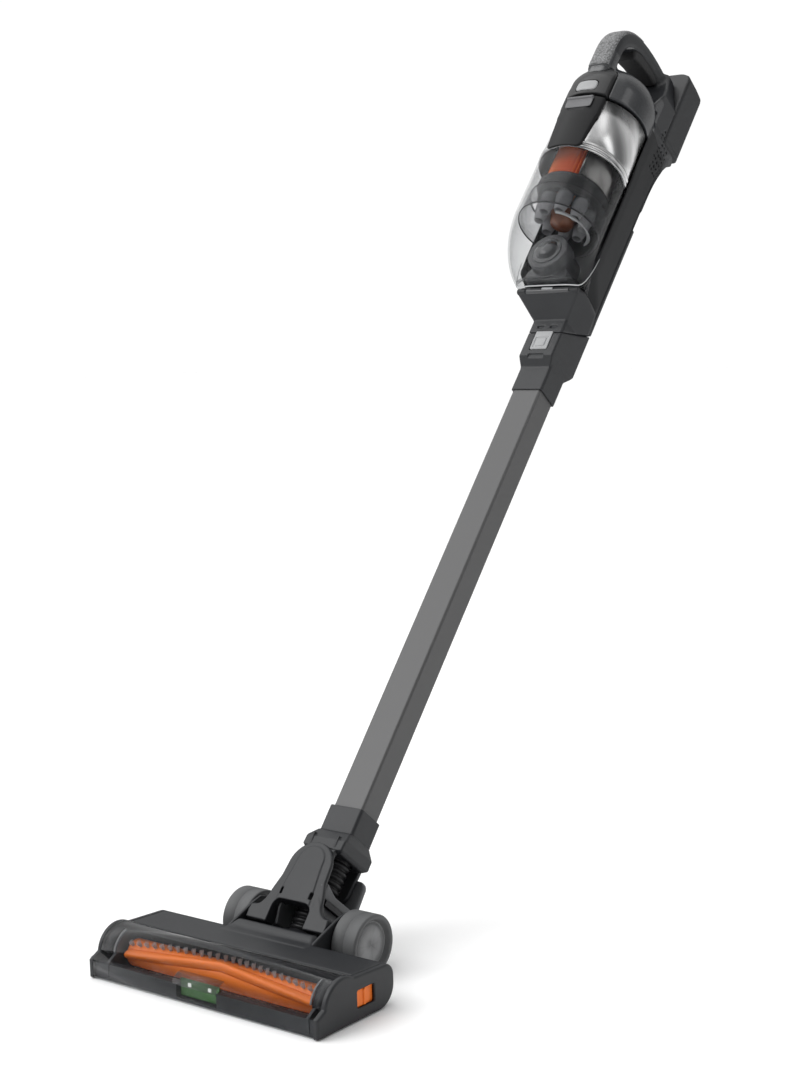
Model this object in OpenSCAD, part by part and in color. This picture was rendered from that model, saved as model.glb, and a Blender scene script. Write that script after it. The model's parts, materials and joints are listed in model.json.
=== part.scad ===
/* [Stance] */
// Lean of the stick, back from upright, at rest
lean = 40; // [20:1:45]
// Distance of the wheel axle behind the centre of the sole
axle_y = 60; // [58:1:64]
// Radius of the rear wheels, which is also the height of the tilt axis
wheel_r = 27; // [26.5:0.5:28]

/* [Floor head] */
// Overall width of the floor head over its end caps
head_w = 260; // [250:2:280]
// Thickness of each end cap
cap_t = 5; // [4:0.5:6]
// Outer radius of the clear brush window, about the brush axis
window_r = 24.3; // [24:0.1:25]
// Wall thickness of the head's covers
head_wall = 2.2; // [2:0.1:2.4]
// Radius over the tips of the bristles
brush_tip_r = 17.6; // [16.5:0.1:17.8]
// Tufts in each bristle row
tufts = 26; // [16:1:30]

/* [Wand] */
// Width of the wand's tube
tube_w = 33.2; // [32:0.2:34]
// Depth of the wand's tube, front to back
tube_d = 27.6; // [26.6:0.2:28.4]
// Wall of the wand's tube
tube_wall = 1.3; // [1:0.1:2]
// Height of the tube's lower end above the tilt axis
tube_low = 88; // [86:1:90]
// Height of the top collar's lower rim above the tilt axis
collar_low = 586; // [560:2:600]

/* [Hand unit] */
// Outer radius of the dust bowl
bowl_r = 48; // [46:0.5:48.4]
// Distance of the bowl's axis in front of the wand's axis
bowl_v = 67; // [66:0.5:68]
// Wall of the dust bowl
bowl_wall = 2; // [1.6:0.1:2.4]
// Height of the bowl above its floor
bowl_h = 197; // [190:1:200]
// Half the width of the handle bar
grip_x = 13.5; // [12:0.5:15]
// Half the width of the battery pack
pack_x = 35; // [34.5:0.5:36]
// Pleats of the filter
pleats = 36; // [24:2:48]

/* [Hidden] */
$fn = 72;
eps = 0.05;
gap = 0.3;
running = 0.05;

brush_y = -45;
brush_z = 18;
cap_x = head_w / 2 - cap_t;
belt_wall_x = 110;
brush_left = -105;
brush_right = cap_x - 11;
brush_core_r = 12;
brush_bore_r = 5;
motor_y = -2;
motor_z = 20;
pulley_r = 12;
pinion_r = 5;
drive_x = -118;
axle_r = 3;
post_in = 22;
post_out = 36;
arm_in = 37.5;
arm_out = 45;
wheel_in = 50;
wheel_out = 76.5;
roller_r = 5;
roller_x = 70;
roller_y = -13;
hose_r = 15;
swing_z = 47;
flap_y = -68;
flap_z = 724.5;
flap_hinge_z = 742.1;
hinge_v = 43.5;
hinge_z = 689.8;
plate_back = -27;
plate_front = -33;
pin_r = 4;

bowl_z = 693;
bowl_top = bowl_z + bowl_h;
cheek_r = bowl_r + 1;
seam_front = 655;
seam_back = 683;
nose_front = -23;
nose_back = 24.4;
nose_x = 20.5;
nose_r = 1.6;
tube_r = 2.5;
spine_x = 20.4;
spine_back = 19.6;
pack_front = -6;
pack_back = 30;
pack_low = 924;
pack_high = 1031;
pack_r = 5;
dome_h = 39.5;
handle_top = 1015;
handle_front = -117;
// Turn of the casing's flank about the stick
flank_turn = atan2(16, 21.6);
vents_low = 864;
vents_high = 902;
shaft_r = 2.5;

// Frames and outlines

// Puts children in the stick's frame: X across, Y back, Z up along the wand from the tilt axis.
module on_stick() {
    translate([0, axle_y, wheel_r]) rotate([-lean, 0, 0]) children();
}

// Extrudes a Y-Z outline along X, from x0 to x1.
module along_x(x0, x1) {
    translate([x0, 0, 0]) rotate([90, 0, 90]) linear_extrude(x1 - x0) children();
}

// Extrudes an X-Z outline along Y, from y0 to y1.
module along_y(y0, y1) {
    translate([0, y1, 0]) rotate([90, 0, 0]) linear_extrude(y1 - y0) children();
}

// A box between two corners.
module block(low, high) {
    translate(low) cube(high - low);
}

// A cylinder about an axis along X.
module rod_x(y, z, r, x0, x1) {
    translate([x0, y, z]) rotate([0, 90, 0]) cylinder(r = r, h = x1 - x0);
}

// A cylinder about an axis along Y.
module rod_y(x, z, r, y0, y1) {
    translate([x, y0, z]) rotate([-90, 0, 0]) cylinder(r = r, h = y1 - y0);
}

module both_sides() {
    children();
    mirror([1, 0, 0]) children();
}

function arc(c, r, a0, a1, n = 8) = [for (i = [0:n]) c + r * [cos(a0 + (a1 - a0) * i / n),
    sin(a0 + (a1 - a0) * i / n)]];

function oval(c, rx, ry, a0, a1, n = 10) =
    [for (i = [0:n]) c + [rx * cos(a0 + (a1 - a0) * i / n), ry * sin(a0 + (a1 - a0) * i / n)]];

function bezier(a, b, c, d, n = 12) =
    [for (i = [0:n]) let (t = i / n, s = 1 - t) s * s * s * a + 3 * s * s * t * b + 3 * s * t * t * c + t * t * t * d];

// A rectangle of w by h with corners of radius r, about the origin.
function rounded(w, h, r, n = 4) = concat(
    arc([w / 2 - r, h / 2 - r], r, 0, 90, n), arc([r - w / 2, h / 2 - r], r, 90, 180, n),
    arc([r - w / 2, r - h / 2], r, 180, 270, n), arc([w / 2 - r, r - h / 2], r, 270, 360, n));

module rounded_bar(w, h, r, z0, z1) {
    translate([0, 0, z0]) linear_extrude(z1 - z0) polygon(rounded(w, h, r));
}

// Side outline of the head's casing, moved inwards by inset.
function head_outline(inset = 0) = concat(
    [[-79 + inset, 1 + inset], [-79 + inset, 17 - 0.6 * inset]],
    arc([brush_y, brush_z], window_r - inset, 170, 58, 14),
    [[8, 36.7 - inset]], arc([8, 25.7], 11 - inset, 80, 0, 5),
    arc([0.5, 19.3], 18.5 - inset, 0, -80, 8), [[3, 1 + inset]]);

module head_ring(x0, x1, wall) {
    along_x(x0, x1) difference() {
        polygon(head_outline(0));
        polygon(head_outline(wall));
    }
}

// A corrugated hose from z0 to z1 about the Z axis.
module hose(z0, z1, ribs) {
    pitch = (z1 - z0) / ribs;
    rib_d = 1.9;
    rotate_extrude() polygon(concat(
        [[hose_r - 3.2, z0]],
        [for (i = [0:ribs - 1], k = [0:3])
            [hose_r - rib_d * (k == 0 || k == 3 ? 1 : 0), z0 + pitch * (i + [0.02, 0.25, 0.72, 0.95][k])]],
        [[hose_r - 1.9, z1], [hose_r - 3.2, z1]]));
}

// Floor head

module nozzle_base() {
    color("dimgray") difference() {
        union() {
            intersection() {
                head_ring(-cap_x + gap, cap_x - gap, head_wall);
                block([-cap_x, -24, 0], [cap_x, 30, 13.6]);
            }
            block([-cap_x + gap, -25, 1], [cap_x - gap, 4, 3]);
            block([-cap_x + gap, -75.6, 1], [cap_x - gap, -68.6, 15]);
            // Curved wall behind the brush
            along_x(-belt_wall_x, cap_x - gap) polygon(concat(
                arc([brush_y, brush_z], window_r - 1.7, -40, 46),
                arc([brush_y, brush_z], window_r, 46, -40)));
            // End frames that carry the brush
            for (x = [-belt_wall_x, cap_x - 8]) along_x(x - 1.5,
                x + 1.5) polygon(head_outline(head_wall + 0.3));
            // Pan and posts that carry the axle
            block([-arm_out, 2, 1], [arm_out, 70, 3.2]);
            both_sides() along_x(post_in, post_out) polygon(concat([[12, 1], [12, 12.8], [48, 12.8],
                [51, 24]],
                arc([axle_y, wheel_r], 9, 190, -20, 10), [[70, 10], [70, 1]]));
        }
        rod_x(brush_y, brush_z, brush_bore_r + 3, -cap_x, cap_x);
        rod_x(motor_y, motor_z, 4, -cap_x, -belt_wall_x + 5);
        both_sides() rod_x(axle_y, wheel_r, axle_r + 0.02, post_in - 1, post_out + 1);
        // Suction port
        rod_y(0, brush_z + 0.6, 13.2, -26, -12);
        // Way out of the duct at the back
        rod_y(0, brush_z + 0.6, hose_r + gap, 4, 26);
        // Wells for the sole rollers and a slot for the sole strip
        both_sides() block([roller_x - 7, roller_y - 6.2, 0], [roller_x + 7, roller_y + 6.2, 12]);
        block([-118, -5, 0], [118, 5, 1.8]);
        // The front bar is thinner behind the lamps
        block([-27.6, -76, 3], [18, -69.8, 16]);
    }
}

module nozzle_cover() {
    color("#54565a") difference() {
        union() {
            intersection() {
                head_ring(-cap_x + gap, cap_x - gap, head_wall);
                block([-cap_x, -32.6, 14], [cap_x, 30, 60]);
            }
            // Ridge in front of the yoke
            along_x(-arm_out - 2, arm_out + 2) polygon(concat(
                [[6, 34.7], [6, 36.6]], bezier([9, 36.6], [14, 37], [16, 40.6], [20, 41], 6),
                    [[23.4, 40.4], [23.4, 34.7]]));
        }
        // Room for the duct under the ridge
        rod_y(0, brush_z + 0.6, hose_r + 0.6, -20, 26);
    }
}

module brush_window() {
    color([0.5, 0.55, 0.6, 0.35]) difference() {
        head_ring(-cap_x + gap, cap_x - gap, 1.5);
        block([-cap_x - 1, -33, -1], [cap_x + 1, 40, 60]);
        block([-cap_x - 1, -77.4, -1], [cap_x + 1, 0, 15.3]);
    }
}

module end_cap(x0, x1) {
    along_x(x0, x1) polygon(head_outline(0));
}

module end_cap_left() {
    color("dimgray") end_cap(-head_w / 2, -cap_x);
}

module end_cap_right() {
    color("dimgray") difference() {
        end_cap(cap_x, head_w / 2);
        // Window and inner pocket of the brush's release
        block([cap_x - 1, -29, 11], [head_w, -7, 26]);
        block([cap_x - 1, -34.4, 9.8], [cap_x + 2.7, -1, 27.2]);
    }
}

// Sliding catch that frees the brush, with a finger rib
module brush_release() {
    color("darkorange") {
        block([cap_x + 0.3, -34, 10.2], [cap_x + 2.2, -6.6, 26.8]);
        block([cap_x + 2.1, -28.4, 11.4], [cap_x + 3.2, -12.6, 25.6]);
        block([cap_x + 3.1, -20.4, 11.6], [cap_x + 4.8, -17.6, 25.4]);
    }
}

module sole_strip() {
    color("#303030") block([-117.6, -4.7, 0], [117.6, 4.7, 1.75]);
}

module led_board() {
    color("green") block([-27, -70.7, 3.8], [17.4, -69.95, 18.8]);
}

module led_lamps() {
    color("white") for (x = [-16.3, 6.7]) block([x - 1.5, -71.6, 12.8], [x + 1.5, -70.75, 15.8]);
}

module air_duct() {
    wall = 1.6;
    duct_z = brush_z + 0.6;
    knee = -11;
    color("#2c2d2f") difference() {
        union() {
            rod_y(0, duct_z, hose_r, -18.8, axle_y + knee * sin(lean));
            on_stick() translate([0, 0, knee]) {
                sphere(r = hose_r);
                cylinder(r = hose_r, h = 5.7);
            }
        }
        rod_y(0, duct_z, hose_r - wall, -30, axle_y + knee * sin(lean));
        on_stick() translate([0, 0, knee]) {
            sphere(r = hose_r - wall);
            cylinder(r = hose_r - wall, h = 8);
        }
        // The mouth follows the curved wall behind the brush
        rod_x(brush_y, brush_z, window_r + 0.3, -40, 40);
        // Seat of the hose
        on_stick() translate([0, 0, knee + 5.7]) cylinder(r = 30, h = 30);
    }
}

module brush_motor() {
    color("silver") {
        difference() {
            rod_x(motor_y, motor_z, 11.5, -100, -44);
            rod_x(motor_y, motor_z, 1.6 + running, -101, -80);
        }
        rod_x(motor_y, motor_z, 6, -44, -41);
    }
}

module pulley_teeth(y, z, r, count) {
    for (i = [0:count - 1])
        translate([drive_x, y, z]) rotate([i * 360 / count, 0, 0]) translate([-3.5, -0.6,
            r - 0.6]) cube([7, 1.2, 1]);
}

module motor_pinion() {
    color("silver") {
        rod_x(motor_y, motor_z, pinion_r, drive_x - 3.5, drive_x + 3.5);
        rod_x(motor_y, motor_z, 1.6, drive_x + 3.5, -82);
        pulley_teeth(motor_y, motor_z, pinion_r, 10);
    }
}

module belt_loop(extra) {
    hull() {
        translate([brush_y, brush_z]) circle(r = pulley_r + extra);
        translate([motor_y, motor_z]) circle(r = pinion_r + extra);
    }
}

module drive_belt() {
    color("#202020") along_x(drive_x - 3.2, drive_x + 3.2) difference() {
        belt_loop(2.4);
        belt_loop(0.75);
    }
}

module brush_pulley() {
    color("#3a3a3c") {
        difference() {
            rod_x(brush_y, brush_z, pulley_r, drive_x - 3.5, drive_x + 3.5);
            rod_x(brush_y, brush_z, 3, drive_x - 4, drive_x + 4);
        }
        pulley_teeth(brush_y, brush_z, pulley_r, 24);
    }
}

module brush_core() {
    color("#e8632a") {
        rod_x(brush_y, brush_z, brush_core_r, brush_left, brush_right);
        rod_x(brush_y, brush_z, 3 - 0.02, drive_x - 3.5, brush_left);
        rod_x(brush_y, brush_z, 3 - 0.02, brush_right, cap_x - 1.5);
    }
}

module brush_bearings() {
    color("silver") for (x = [-belt_wall_x, cap_x - 8]) difference() {
        rod_x(brush_y, brush_z, brush_bore_r + 3 - 0.02, x - 1.5, x + 1.5);
        rod_x(brush_y, brush_z, 3 + running, x - 2, x + 2);
    }
}

// Angle of a bristle row along the brush: it winds a third of a turn to the middle and back.
function wind(x) = 48 * (1 - abs((x - (brush_left + brush_right) / 2) / ((brush_right - brush_left) / 2)));

module brush_fins() {
    steps = 30;
    span = brush_right - brush_left - 8;
    rise = brush_tip_r - 0.8;
    root = brush_core_r + 0.2;
    thick = 5;
    at = [for (i = [0:steps]) brush_left + 4 + span * i / steps];
    color("#f07a35") for (turn = [-76, 104]) polyhedron(
        points = [for (x = at, k = [0:3])
            let (r = k < 2 ? root : rise, a = wind(x) + turn + (k == 0 || k == 3 ? -thick : thick))
            [x, brush_y + r * sin(a), brush_z + r * cos(a)]],
        faces = concat([[3, 2, 1, 0]], [[steps * 4, steps * 4 + 1, steps * 4 + 2, steps * 4 + 3]],
            [for (i = [0:steps - 1], k = [0:3]) let (a = i * 4 + k, b = i * 4 + (k + 1) % 4) [a, b, b + 4]],
            [for (i = [0:steps - 1], k = [0:3]) let (a = i * 4 + k, b = i * 4 + (k + 1) % 4) [a, b + 4,
                a + 4]]));
}

module brush_bristles() {
    color("#8c8c90") for (i = [0:tufts - 1], turn = [-30, 150]) {
        x = brush_left + 6 + (brush_right - brush_left - 12) * i / (tufts - 1);
        translate([x, brush_y, brush_z]) rotate([-wind(x) - turn, 0, 0])
            translate([0, 0, brush_core_r + 0.05]) cylinder(r = 1.3, h = brush_tip_r - brush_core_r - 0.1,
                $fn = 14);
    }
}

module sole_rollers() {
    color("#3a3a3c") both_sides() {
        rod_x(roller_y, roller_r, roller_r, roller_x - 6, roller_x + 6);
        rod_x(roller_y, roller_r, 1.5, roller_x - 6.6, roller_x + 6.6);
    }
}

module axle_pins() {
    color("silver") both_sides() rod_x(axle_y, wheel_r, axle_r, 20, wheel_out - 6.3);
}

module tyre() {
    color("#7d7f82") along_wheel([[21, wheel_in], [wheel_r - 1.2, wheel_in], [wheel_r, wheel_in + 1.4],
        [wheel_r, wheel_out - 2], [wheel_r - 2, wheel_out], [wheel_r - 3.4, wheel_out - 0.4],
            [21, wheel_out - 3]]);
}

module hub() {
    color("#8a8c8f") difference() {
        along_wheel([[0, wheel_in + 1], [21 - 0.02, wheel_in + 1], [21 - 0.02, wheel_out - 5],
            [19.6, wheel_out - 6],
            [8, wheel_out - 4.6], [0, wheel_out - 4.4]]);
        rod_x(axle_y, wheel_r, axle_r + running, wheel_in - 1, wheel_out - 5.9);
    }
}

// Turns a radius-and-X outline about the axle.
module along_wheel(outline) {
    translate([0, axle_y, wheel_r]) rotate([0, 90, 0]) rotate_extrude() polygon(outline);
}

module wheel_left_tyre() { mirror([1, 0, 0]) tyre(); }

module wheel_left_hub() { mirror([1, 0, 0]) hub(); }

module wheel_right_tyre() { tyre(); }

module wheel_right_hub() { hub(); }

// Yoke and neck

function plate_outline() = concat(
    arc([0, swing_z], 24, 180, 0, 16), [[25, 35], [29, 23], [31, 15]],
    bezier([32, 9], [35, 5], [arm_out, 6], [arm_out, -2], 8), [[arm_out, -9], [21.5, -9], [21.5, 7]],
    arc([16.5, 7.5], 5, 0, 90, 4), arc([-16.5, 7.5], 5, 90, 180, 4),
        [[-21.5, 7], [-21.5, -9], [-arm_out, -9]],
    bezier([-arm_out, -2], [-arm_out, 6], [-35, 5], [-32, 9], 8), [[-31, 15], [-29, 23], [-25, 35]]);

// Front plate, with the two arms that swing on the axle
module yoke_front() {
    color("#54565a") on_stick() difference() {
        union() {
            along_y(plate_front, plate_back) polygon(plate_outline());
            both_sides() along_x(arm_in, arm_out) polygon(concat(
                [[plate_back - eps, -9], [plate_back - eps, 2], [-20, 5]], arc([0, 0], 10, 110, -110, 12),
                    [[-12, -9]]));
        }
        both_sides() {
            rod_x(0, 0, axle_r + running, arm_in - 1, arm_out + 1);
            block([15.4, plate_front - 1, 17.5], [18.4, plate_back + 1, 23.8]);
        }
    }
}

// Rear guard and side walls about the hose
module yoke_rear() {
    color("#2e2f31") on_stick() {
        along_y(22.5, 28) polygon(concat([[-25, 24], [25, 24], [24, 40]], arc([17, 57], 5, 0, 90, 4),
            arc([-17, 57], 5, 90, 180, 4), [[-24, 40]]));
        both_sides() along_x(21.5, 25) polygon([[plate_back + 0.05, 24], [22.5 + eps, 24],
            [22.5 + eps, 30], [10, 31],
            [-10, 31], [plate_back + 0.05, 36]]);
        // Inner cheeks beside the hose, and the wall behind it
        both_sides() along_x(17.2, 19.6) polygon([[-20, -6], [18, -6], [22, 4], [22, 19.3],
            [plate_back + 0.3, 19.3], [-25, 7]]);
        along_y(19.6, 22) polygon([[-17.25, 8.5], [17.25, 8.5], [17.25, 19.3], [-17.25, 19.3]]);
    }
}

module hose_clamp() {
    color("#2e2f31") on_stick() difference() {
        block([-25, -20, 19.4], [25, 20, 23.95]);
        translate([0, 0, 18]) cylinder(r = hose_r - 3.2, h = 8);
    }
}

module swing_pins() {
    color("silver") on_stick() {
        rod_y(0, swing_z, pin_r, plate_back + 0.02, -21);
        rod_y(0, swing_z, pin_r, 17.4, 22.45);
    }
}

module head_hose() {
    color("#3a3b3d") on_stick() hose(-5.1, 19.3, 4);
}

module neck_hose() {
    color("#3a3b3d") on_stick() hose(24.05, 71.5, 8);
}

module neck_socket() {
    color("#4b4d50") on_stick() difference() {
        union() {
            // Ears about the swing pins
            along_y(-26, -21) polygon(concat(arc([0, swing_z], 15, 180, 360, 10), [[16, 68], [-16, 68]]));
            along_y(17, 21.6) polygon(concat(arc([0, swing_z], 15, 180, 360, 10), [[16, 68], [-16, 68]]));
            // Shoulder block
            intersection() {
                along_y(-26, 21.6) polygon([[-20, 66], [20, 66], [23, 70], [23, 82], [20, 87], [-20, 87],
                    [-23, 82], [-23, 70]]);
                along_x(-30, 30) polygon([[-26, 66], [-25, 80], [-20, 87], [17, 87], [21.6, 80],
                    [21.6, 66]]);
            }
            rounded_bar(tube_w + 5, tube_d + 5.4, 3, 86.9, 114);
            both_sides() block([14.4, -26.4, 70], [16, -24, 80]);
        }
        rod_y(0, swing_z, pin_r + running, -30, 30);
        translate([0, 0, 60]) cylinder(r = hose_r + 0.4, h = 13);
        translate([0, 0, 70]) cylinder(r = hose_r - 2.8, h = 20);
        rounded_bar(tube_w + 0.7, tube_d + 0.7, tube_r + 0.2, tube_low, 120);
    }
}

// Wand

// Height of the slanting seam between the wand and the hand unit, at depth y.
function seam_z(y) = seam_front + (seam_back - seam_front) * (y - nose_front) / (nose_back - nose_front);

module wand_tube() {
    color("#77797c") on_stick() difference() {
        rounded_bar(tube_w, tube_d, tube_r, tube_low + 0.5, collar_low + 36);
        rounded_bar(tube_w - 2 * tube_wall, tube_d - 2 * tube_wall, tube_r - tube_wall, tube_low - 1,
            collar_low + 40);
    }
}

module wand_connector() {
    color("#46484b") on_stick() difference() {
        union() {
            rounded_bar(tube_w + 4.4, tube_d + 3.6, tube_r, collar_low, 618);
            hull() {
                rounded_bar(tube_w + 4.6, tube_d + 3.8, tube_r, 612, 612.5);
                translate([0, (nose_front + nose_back) / 2, 0]) rounded_bar(2 * nose_x,
                    nose_back - nose_front, nose_r, 624.5, 625.5);
            }
            intersection() {
                translate([0, (nose_front + nose_back) / 2, 0])
                    rounded_bar(2 * nose_x, nose_back - nose_front, nose_r, 625, seam_back + 5);
                along_x(-30, 30) polygon([[nose_front - 5, 625], [nose_front - 5, seam_z(nose_front - 5)],
                    [30, seam_z(30)], [30, 625]]);
            }
        }
        rounded_bar(tube_w + 0.4, tube_d + 0.4, tube_r + 0.1, collar_low - 1, collar_low + 36.4);
        rounded_bar(tube_w - 5, tube_d - 5, 2.8, collar_low, collar_low + 60);
        rounded_bar(30.4, 32.4, 3, 642, 700);
        block([-10.6, -30, 631], [10.6, -17.4, 654.4]);
    }
}

module wand_button() {
    color("#b9babc") on_stick() union() {
        along_x(-10.2, 10.2) polygon([[-19, 631.4], [-23.6, 631.4], [-23.8, 645], [-22.6, 647],
            [-22.8, 649],
            [-24, 651], [-23.4, 654], [-19, 654]]);
    }
}

module wand_wires() {
    color("#202020") on_stick() both_sides() translate([2.5, tube_d / 2 - tube_wall - 1.3, tube_low + 1])
        cylinder(r = 1.1, h = collar_low + 34 - tube_low, $fn = 24);
}

// Hand unit: casing

// Cross-section of the spine and its cheeks, Y back.
function spine_section(back) = [[-spine_x, back], [-spine_x - 16, back - 21.6], [-45, -35], [-46, -45],
    [46, -45], [45, -35],
    [spine_x + 16, back - 21.6], [spine_x, back]];

// Outer side line of the handle.
function handle_line() = bezier([handle_front, 960], [handle_front, 1000], [-88, handle_top],
    [-30, handle_top], 14);

function handle_outer() = concat([[handle_front, 925], [handle_front, 955]], handle_line(),
    [[pack_front - 1, handle_top]]);

// Hole of the handle, which the fingers go through.
function handle_hole() = concat([[-95, 925], [-95, 962]],
    bezier([-95, 966], [-94, 988], [-64, 996], [-36, 996], 10),
        bezier([-30, 995], [-25, 993], [-25, 985], [-26, 970], 5),
    [[-28, 925]]);

module casing_outer() {
    // Block above the seam with the wand
    intersection() {
        translate([0, (nose_front + nose_back) / 2, 0]) rounded_bar(2 * nose_x, nose_back - nose_front,
            nose_r, 640, 700);
        along_x(-30, 30) polygon([[-30, 640], [-30, 720], [30, 720], [30, 640]]);
    }
    // Chin under the bowl
    hull() {
        along_x(-20, 20) polygon([[nose_front, 674], [0, 674], [0, 680], [nose_front, 676]]);
        along_x(-36, 36) polygon([[-hinge_v - 3, 688], [0, 688], [0, 692.6], [-hinge_v - 3, 692.6]]);
    }
    // Spine and cheeks
    intersection() {
        translate([0, 0, 660]) linear_extrude(bowl_top + 14 - 660) polygon(spine_section(spine_back));
        along_y(-60, 40) polygon([[-20, 672], [-46, 716], [-46, 920], [46, 920], [46, 716], [20, 672]]);
        along_x(-50, 50) polygon(concat([[spine_back, 660], [spine_back, 905], [-45, 905]],
            bezier([-62, 880], [-50, 876], [-44, 862], [-44, 840], 6),
            bezier([-44, 730], [-42, 712], [-44, 700], [-46.5, 692], 5), [[-20, 672]]));
    }
    // Motor housing with its domed top
    translate([0, -bowl_v, 0]) rotate_extrude($fn = 96) polygon(concat([[0, bowl_top + 2.4],
        [cheek_r, bowl_top + 2.4]],
        oval([0, 916], cheek_r, dome_h, 0, 90, 12)));
    // Dock for the battery pack
    difference() {
        intersection() {
            along_x(-pack_x, pack_x) polygon([[-45, 850], [-45, 945], [-36, 966], [-26, 985],
                [-20, handle_top],
                [pack_front - 0.5, handle_top], [pack_front - 0.5, pack_low - 0.4],
                    [pack_back - 0.6, pack_low - 0.4],
                [25, 919], [22, 910], [spine_back + 0.6, 888], [spine_back, 850]]);
            along_y(-60, 40) polygon([[-37, 850], [-39, 890], [-39, 915], [-pack_x + 1, 928],
                [-pack_x + 1, 966],
                [-15, handle_top], [15, handle_top], [pack_x - 1, 966], [pack_x - 1, 928], [39, 915],
                    [39, 890], [37, 850]]);
            flare();
            mirror([1, 0, 0]) flare();
        }
        translate([0, -bowl_v, 840]) cylinder(r = cheek_r - 2, h = 100);
    }
    // Handle
    difference() {
        along_x(-grip_x, grip_x) polygon(concat(handle_outer(), [[pack_front - 1, 925]]));
        along_x(-grip_x - 1, grip_x + 1) polygon(handle_hole());
    }
}

// Limit of the dock on the right flank, which flares out to meet the battery pack
module flare() {
    on_flank() along_y(-90, 90) polygon([[-120, 840], [0.2, 840], [0.3, 868], [0.9, 880], [1.9, 890],
        [3.2, 900],
        [5.3, 912], [7.2, 918], [10.5, 922], [17, 926], [17, handle_top + 1], [-120, handle_top + 1]]);
}

module casing() {
    difference() {
        casing_outer();
        // Seat of the bowl
        translate([0, -bowl_v, bowl_z - 0.4]) cylinder(r = cheek_r, h = bowl_h + 2.8, $fn = 96);
        // Motor room
        translate([0, -bowl_v, 0]) rotate_extrude($fn = 96) polygon(concat([[0, bowl_top],
            [cheek_r - 3, bowl_top]],
            oval([0, 916], cheek_r - 3, dome_h - 3.4, 0, 90, 12)));
        // Everything under the seam with the wand
        along_x(-60, 60) polygon([[-60, 600], [-60, seam_z(-60) + 0.4], [50, seam_z(50) + 0.4], [50, 600]]);
        // Channel of the spine
        block([-15, -16, 640], [15, 16, 886]);
        block([-15, -40, 680], [15, 0, 700]);
        block([-28, 0, 892], [28, 14, 915]);
        // The chin's edge makes way for the floor of the bowl as it swings
        along_x(-50, 50) polygon([for (p = [[0, 3.2], [0, 2.8], [-0.85, 2.67], [-1.62, 2.25],
            [-6.5, -1.2], [-6.5, 3.2]])
            p + [-hinge_v, hinge_z]]);
        // Hinge of the bowl
        rod_x(-hinge_v, hinge_z, 4.2, -26.4, 26.4);
        rod_x(-hinge_v, hinge_z, 1.52, -33, 33);
        // Seats of the grip, its pad, the vents and the front panel
        along_x(-11.2, 11.2) polygon(handle_skin(2.6, -1));
        along_x(-11.2, 11.2) polygon([[-80, 987.4], [-80, 982], [-40, 992], [-40, 997], [-52, 996]]);
        along_y(-130, -90) polygon([[-25.4, 880], [25.4, 880], [25.4, 930], [20, 934.4], [-20, 934.4],
            [-25.4, 930]]);
        both_sides() on_flank() block([-2.4, 2.9, vents_low - 0.1], [6, 19.1, vents_high + 0.1]);
    }
}

// Puts children on the right flank: X outwards, Y towards the back along the flank.
module on_flank() {
    translate([spine_x + 16, spine_back - 21.6, 0]) rotate([0, 0, flank_turn]) children();
}

// A skin over the front and top of the handle, between two depths.
function handle_skin(deep, high) =
    let (line = bezier([handle_front, 938], [handle_front, 1000], [-88, handle_top], [-48, handle_top], 14))
    concat([for (p = line) p + high * inward(p)], [for (i = [len(line) - 1:-1:0]) line[i] + deep * inward(line[i])]);

function inward(p) = let (d = [-48, 945] - p) d / norm(d);

module body_left() {
    color("#4b4d50") on_stick() intersection() {
        casing();
        block([-80, -150, 600], [-0.05, 80, 1100]);
    }
}

module body_right() {
    color("#4b4d50") on_stick() intersection() {
        casing();
        block([0.05, -150, 600], [80, 80, 1100]);
    }
}

module rear_cover() {
    color("#3c3e40") on_stick() intersection() {
        rounded_bar(2 * nose_x, 2 * nose_back, nose_r, 700.3, 826);
        along_x(-30, 30) polygon([[spine_back + 0.05, 700.3], [spine_back + 0.05, 826],
            [nose_back - 2, 826], [nose_back, 820],
            [nose_back, 700.3]]);
    }
}

// Plug that takes the wand, and leads the air to the bowl
module inlet_spigot() {
    color("#3a3b3d") on_stick() {
        difference() {
            rounded_bar(29.4, 31.4, 3, 646, 690);
            rounded_bar(25.4, 27.4, 2, 640, 684);
            block([-10, -20, 678], [10, 0, 685]);
        }
    }
}

module control_panel() {
    color("#26272a") on_stick() difference() {
        union() {
            along_y(-117.5, -112.6) polygon([[-25, 893], [25, 893], [25, 929.6], [19.8, 934],
                [-19.8, 934], [-25, 929.6]]);
            block([-22, -113, 895], [22, -106, 930]);
        }
        along_y(-120, -111.4) polygon(arc_pill(13.1, 7.4, 904));
    }
}

// A pill outline of half-width w and half-height h, centred at height z.
function arc_pill(w, h, z) = concat(arc([w - h, z], h, -90, 90, 8), arc([h - w, z], h, 90, 270, 8));

module power_button() {
    color("#b9babc") on_stick() along_y(-119, -113.2) polygon(arc_pill(12.6, 6.9, 904));
}

module bowl_latch() {
    color("#26272a") on_stick() {
        along_x(-16, 16) polygon([[-116.9, 874], [-119.5, 874], [-120.3, 877], [-119, 880], [-118.6, 887],
            [-116.9, 888.6]]);
    }
}

module handle_grip() {
    color("#97999b") on_stick() along_x(-11, 11) polygon(handle_skin(2.5, 0.1));
}

module handle_pad() {
    color("#1d1d1f") on_stick() along_x(-11, 11) polygon([[-79, 987], [-79, 984.4], [-42, 993.6],
        [-42, 996], [-53, 995.2]]);
}

module fan_motor() {
    color("silver") on_stick() translate([0, -bowl_v, 0]) {
        difference() {
            translate([0, 0, 897]) cylinder(r = 30, h = 26);
            translate([0, 0, 910]) cylinder(r = shaft_r + running, h = 20);
        }
        for (a = [45:90:315]) rotate([0, 0, a]) translate([29, -3, 899]) cube([cheek_r - 3.3 - 29, 6, 18]);
    }
}

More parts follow.
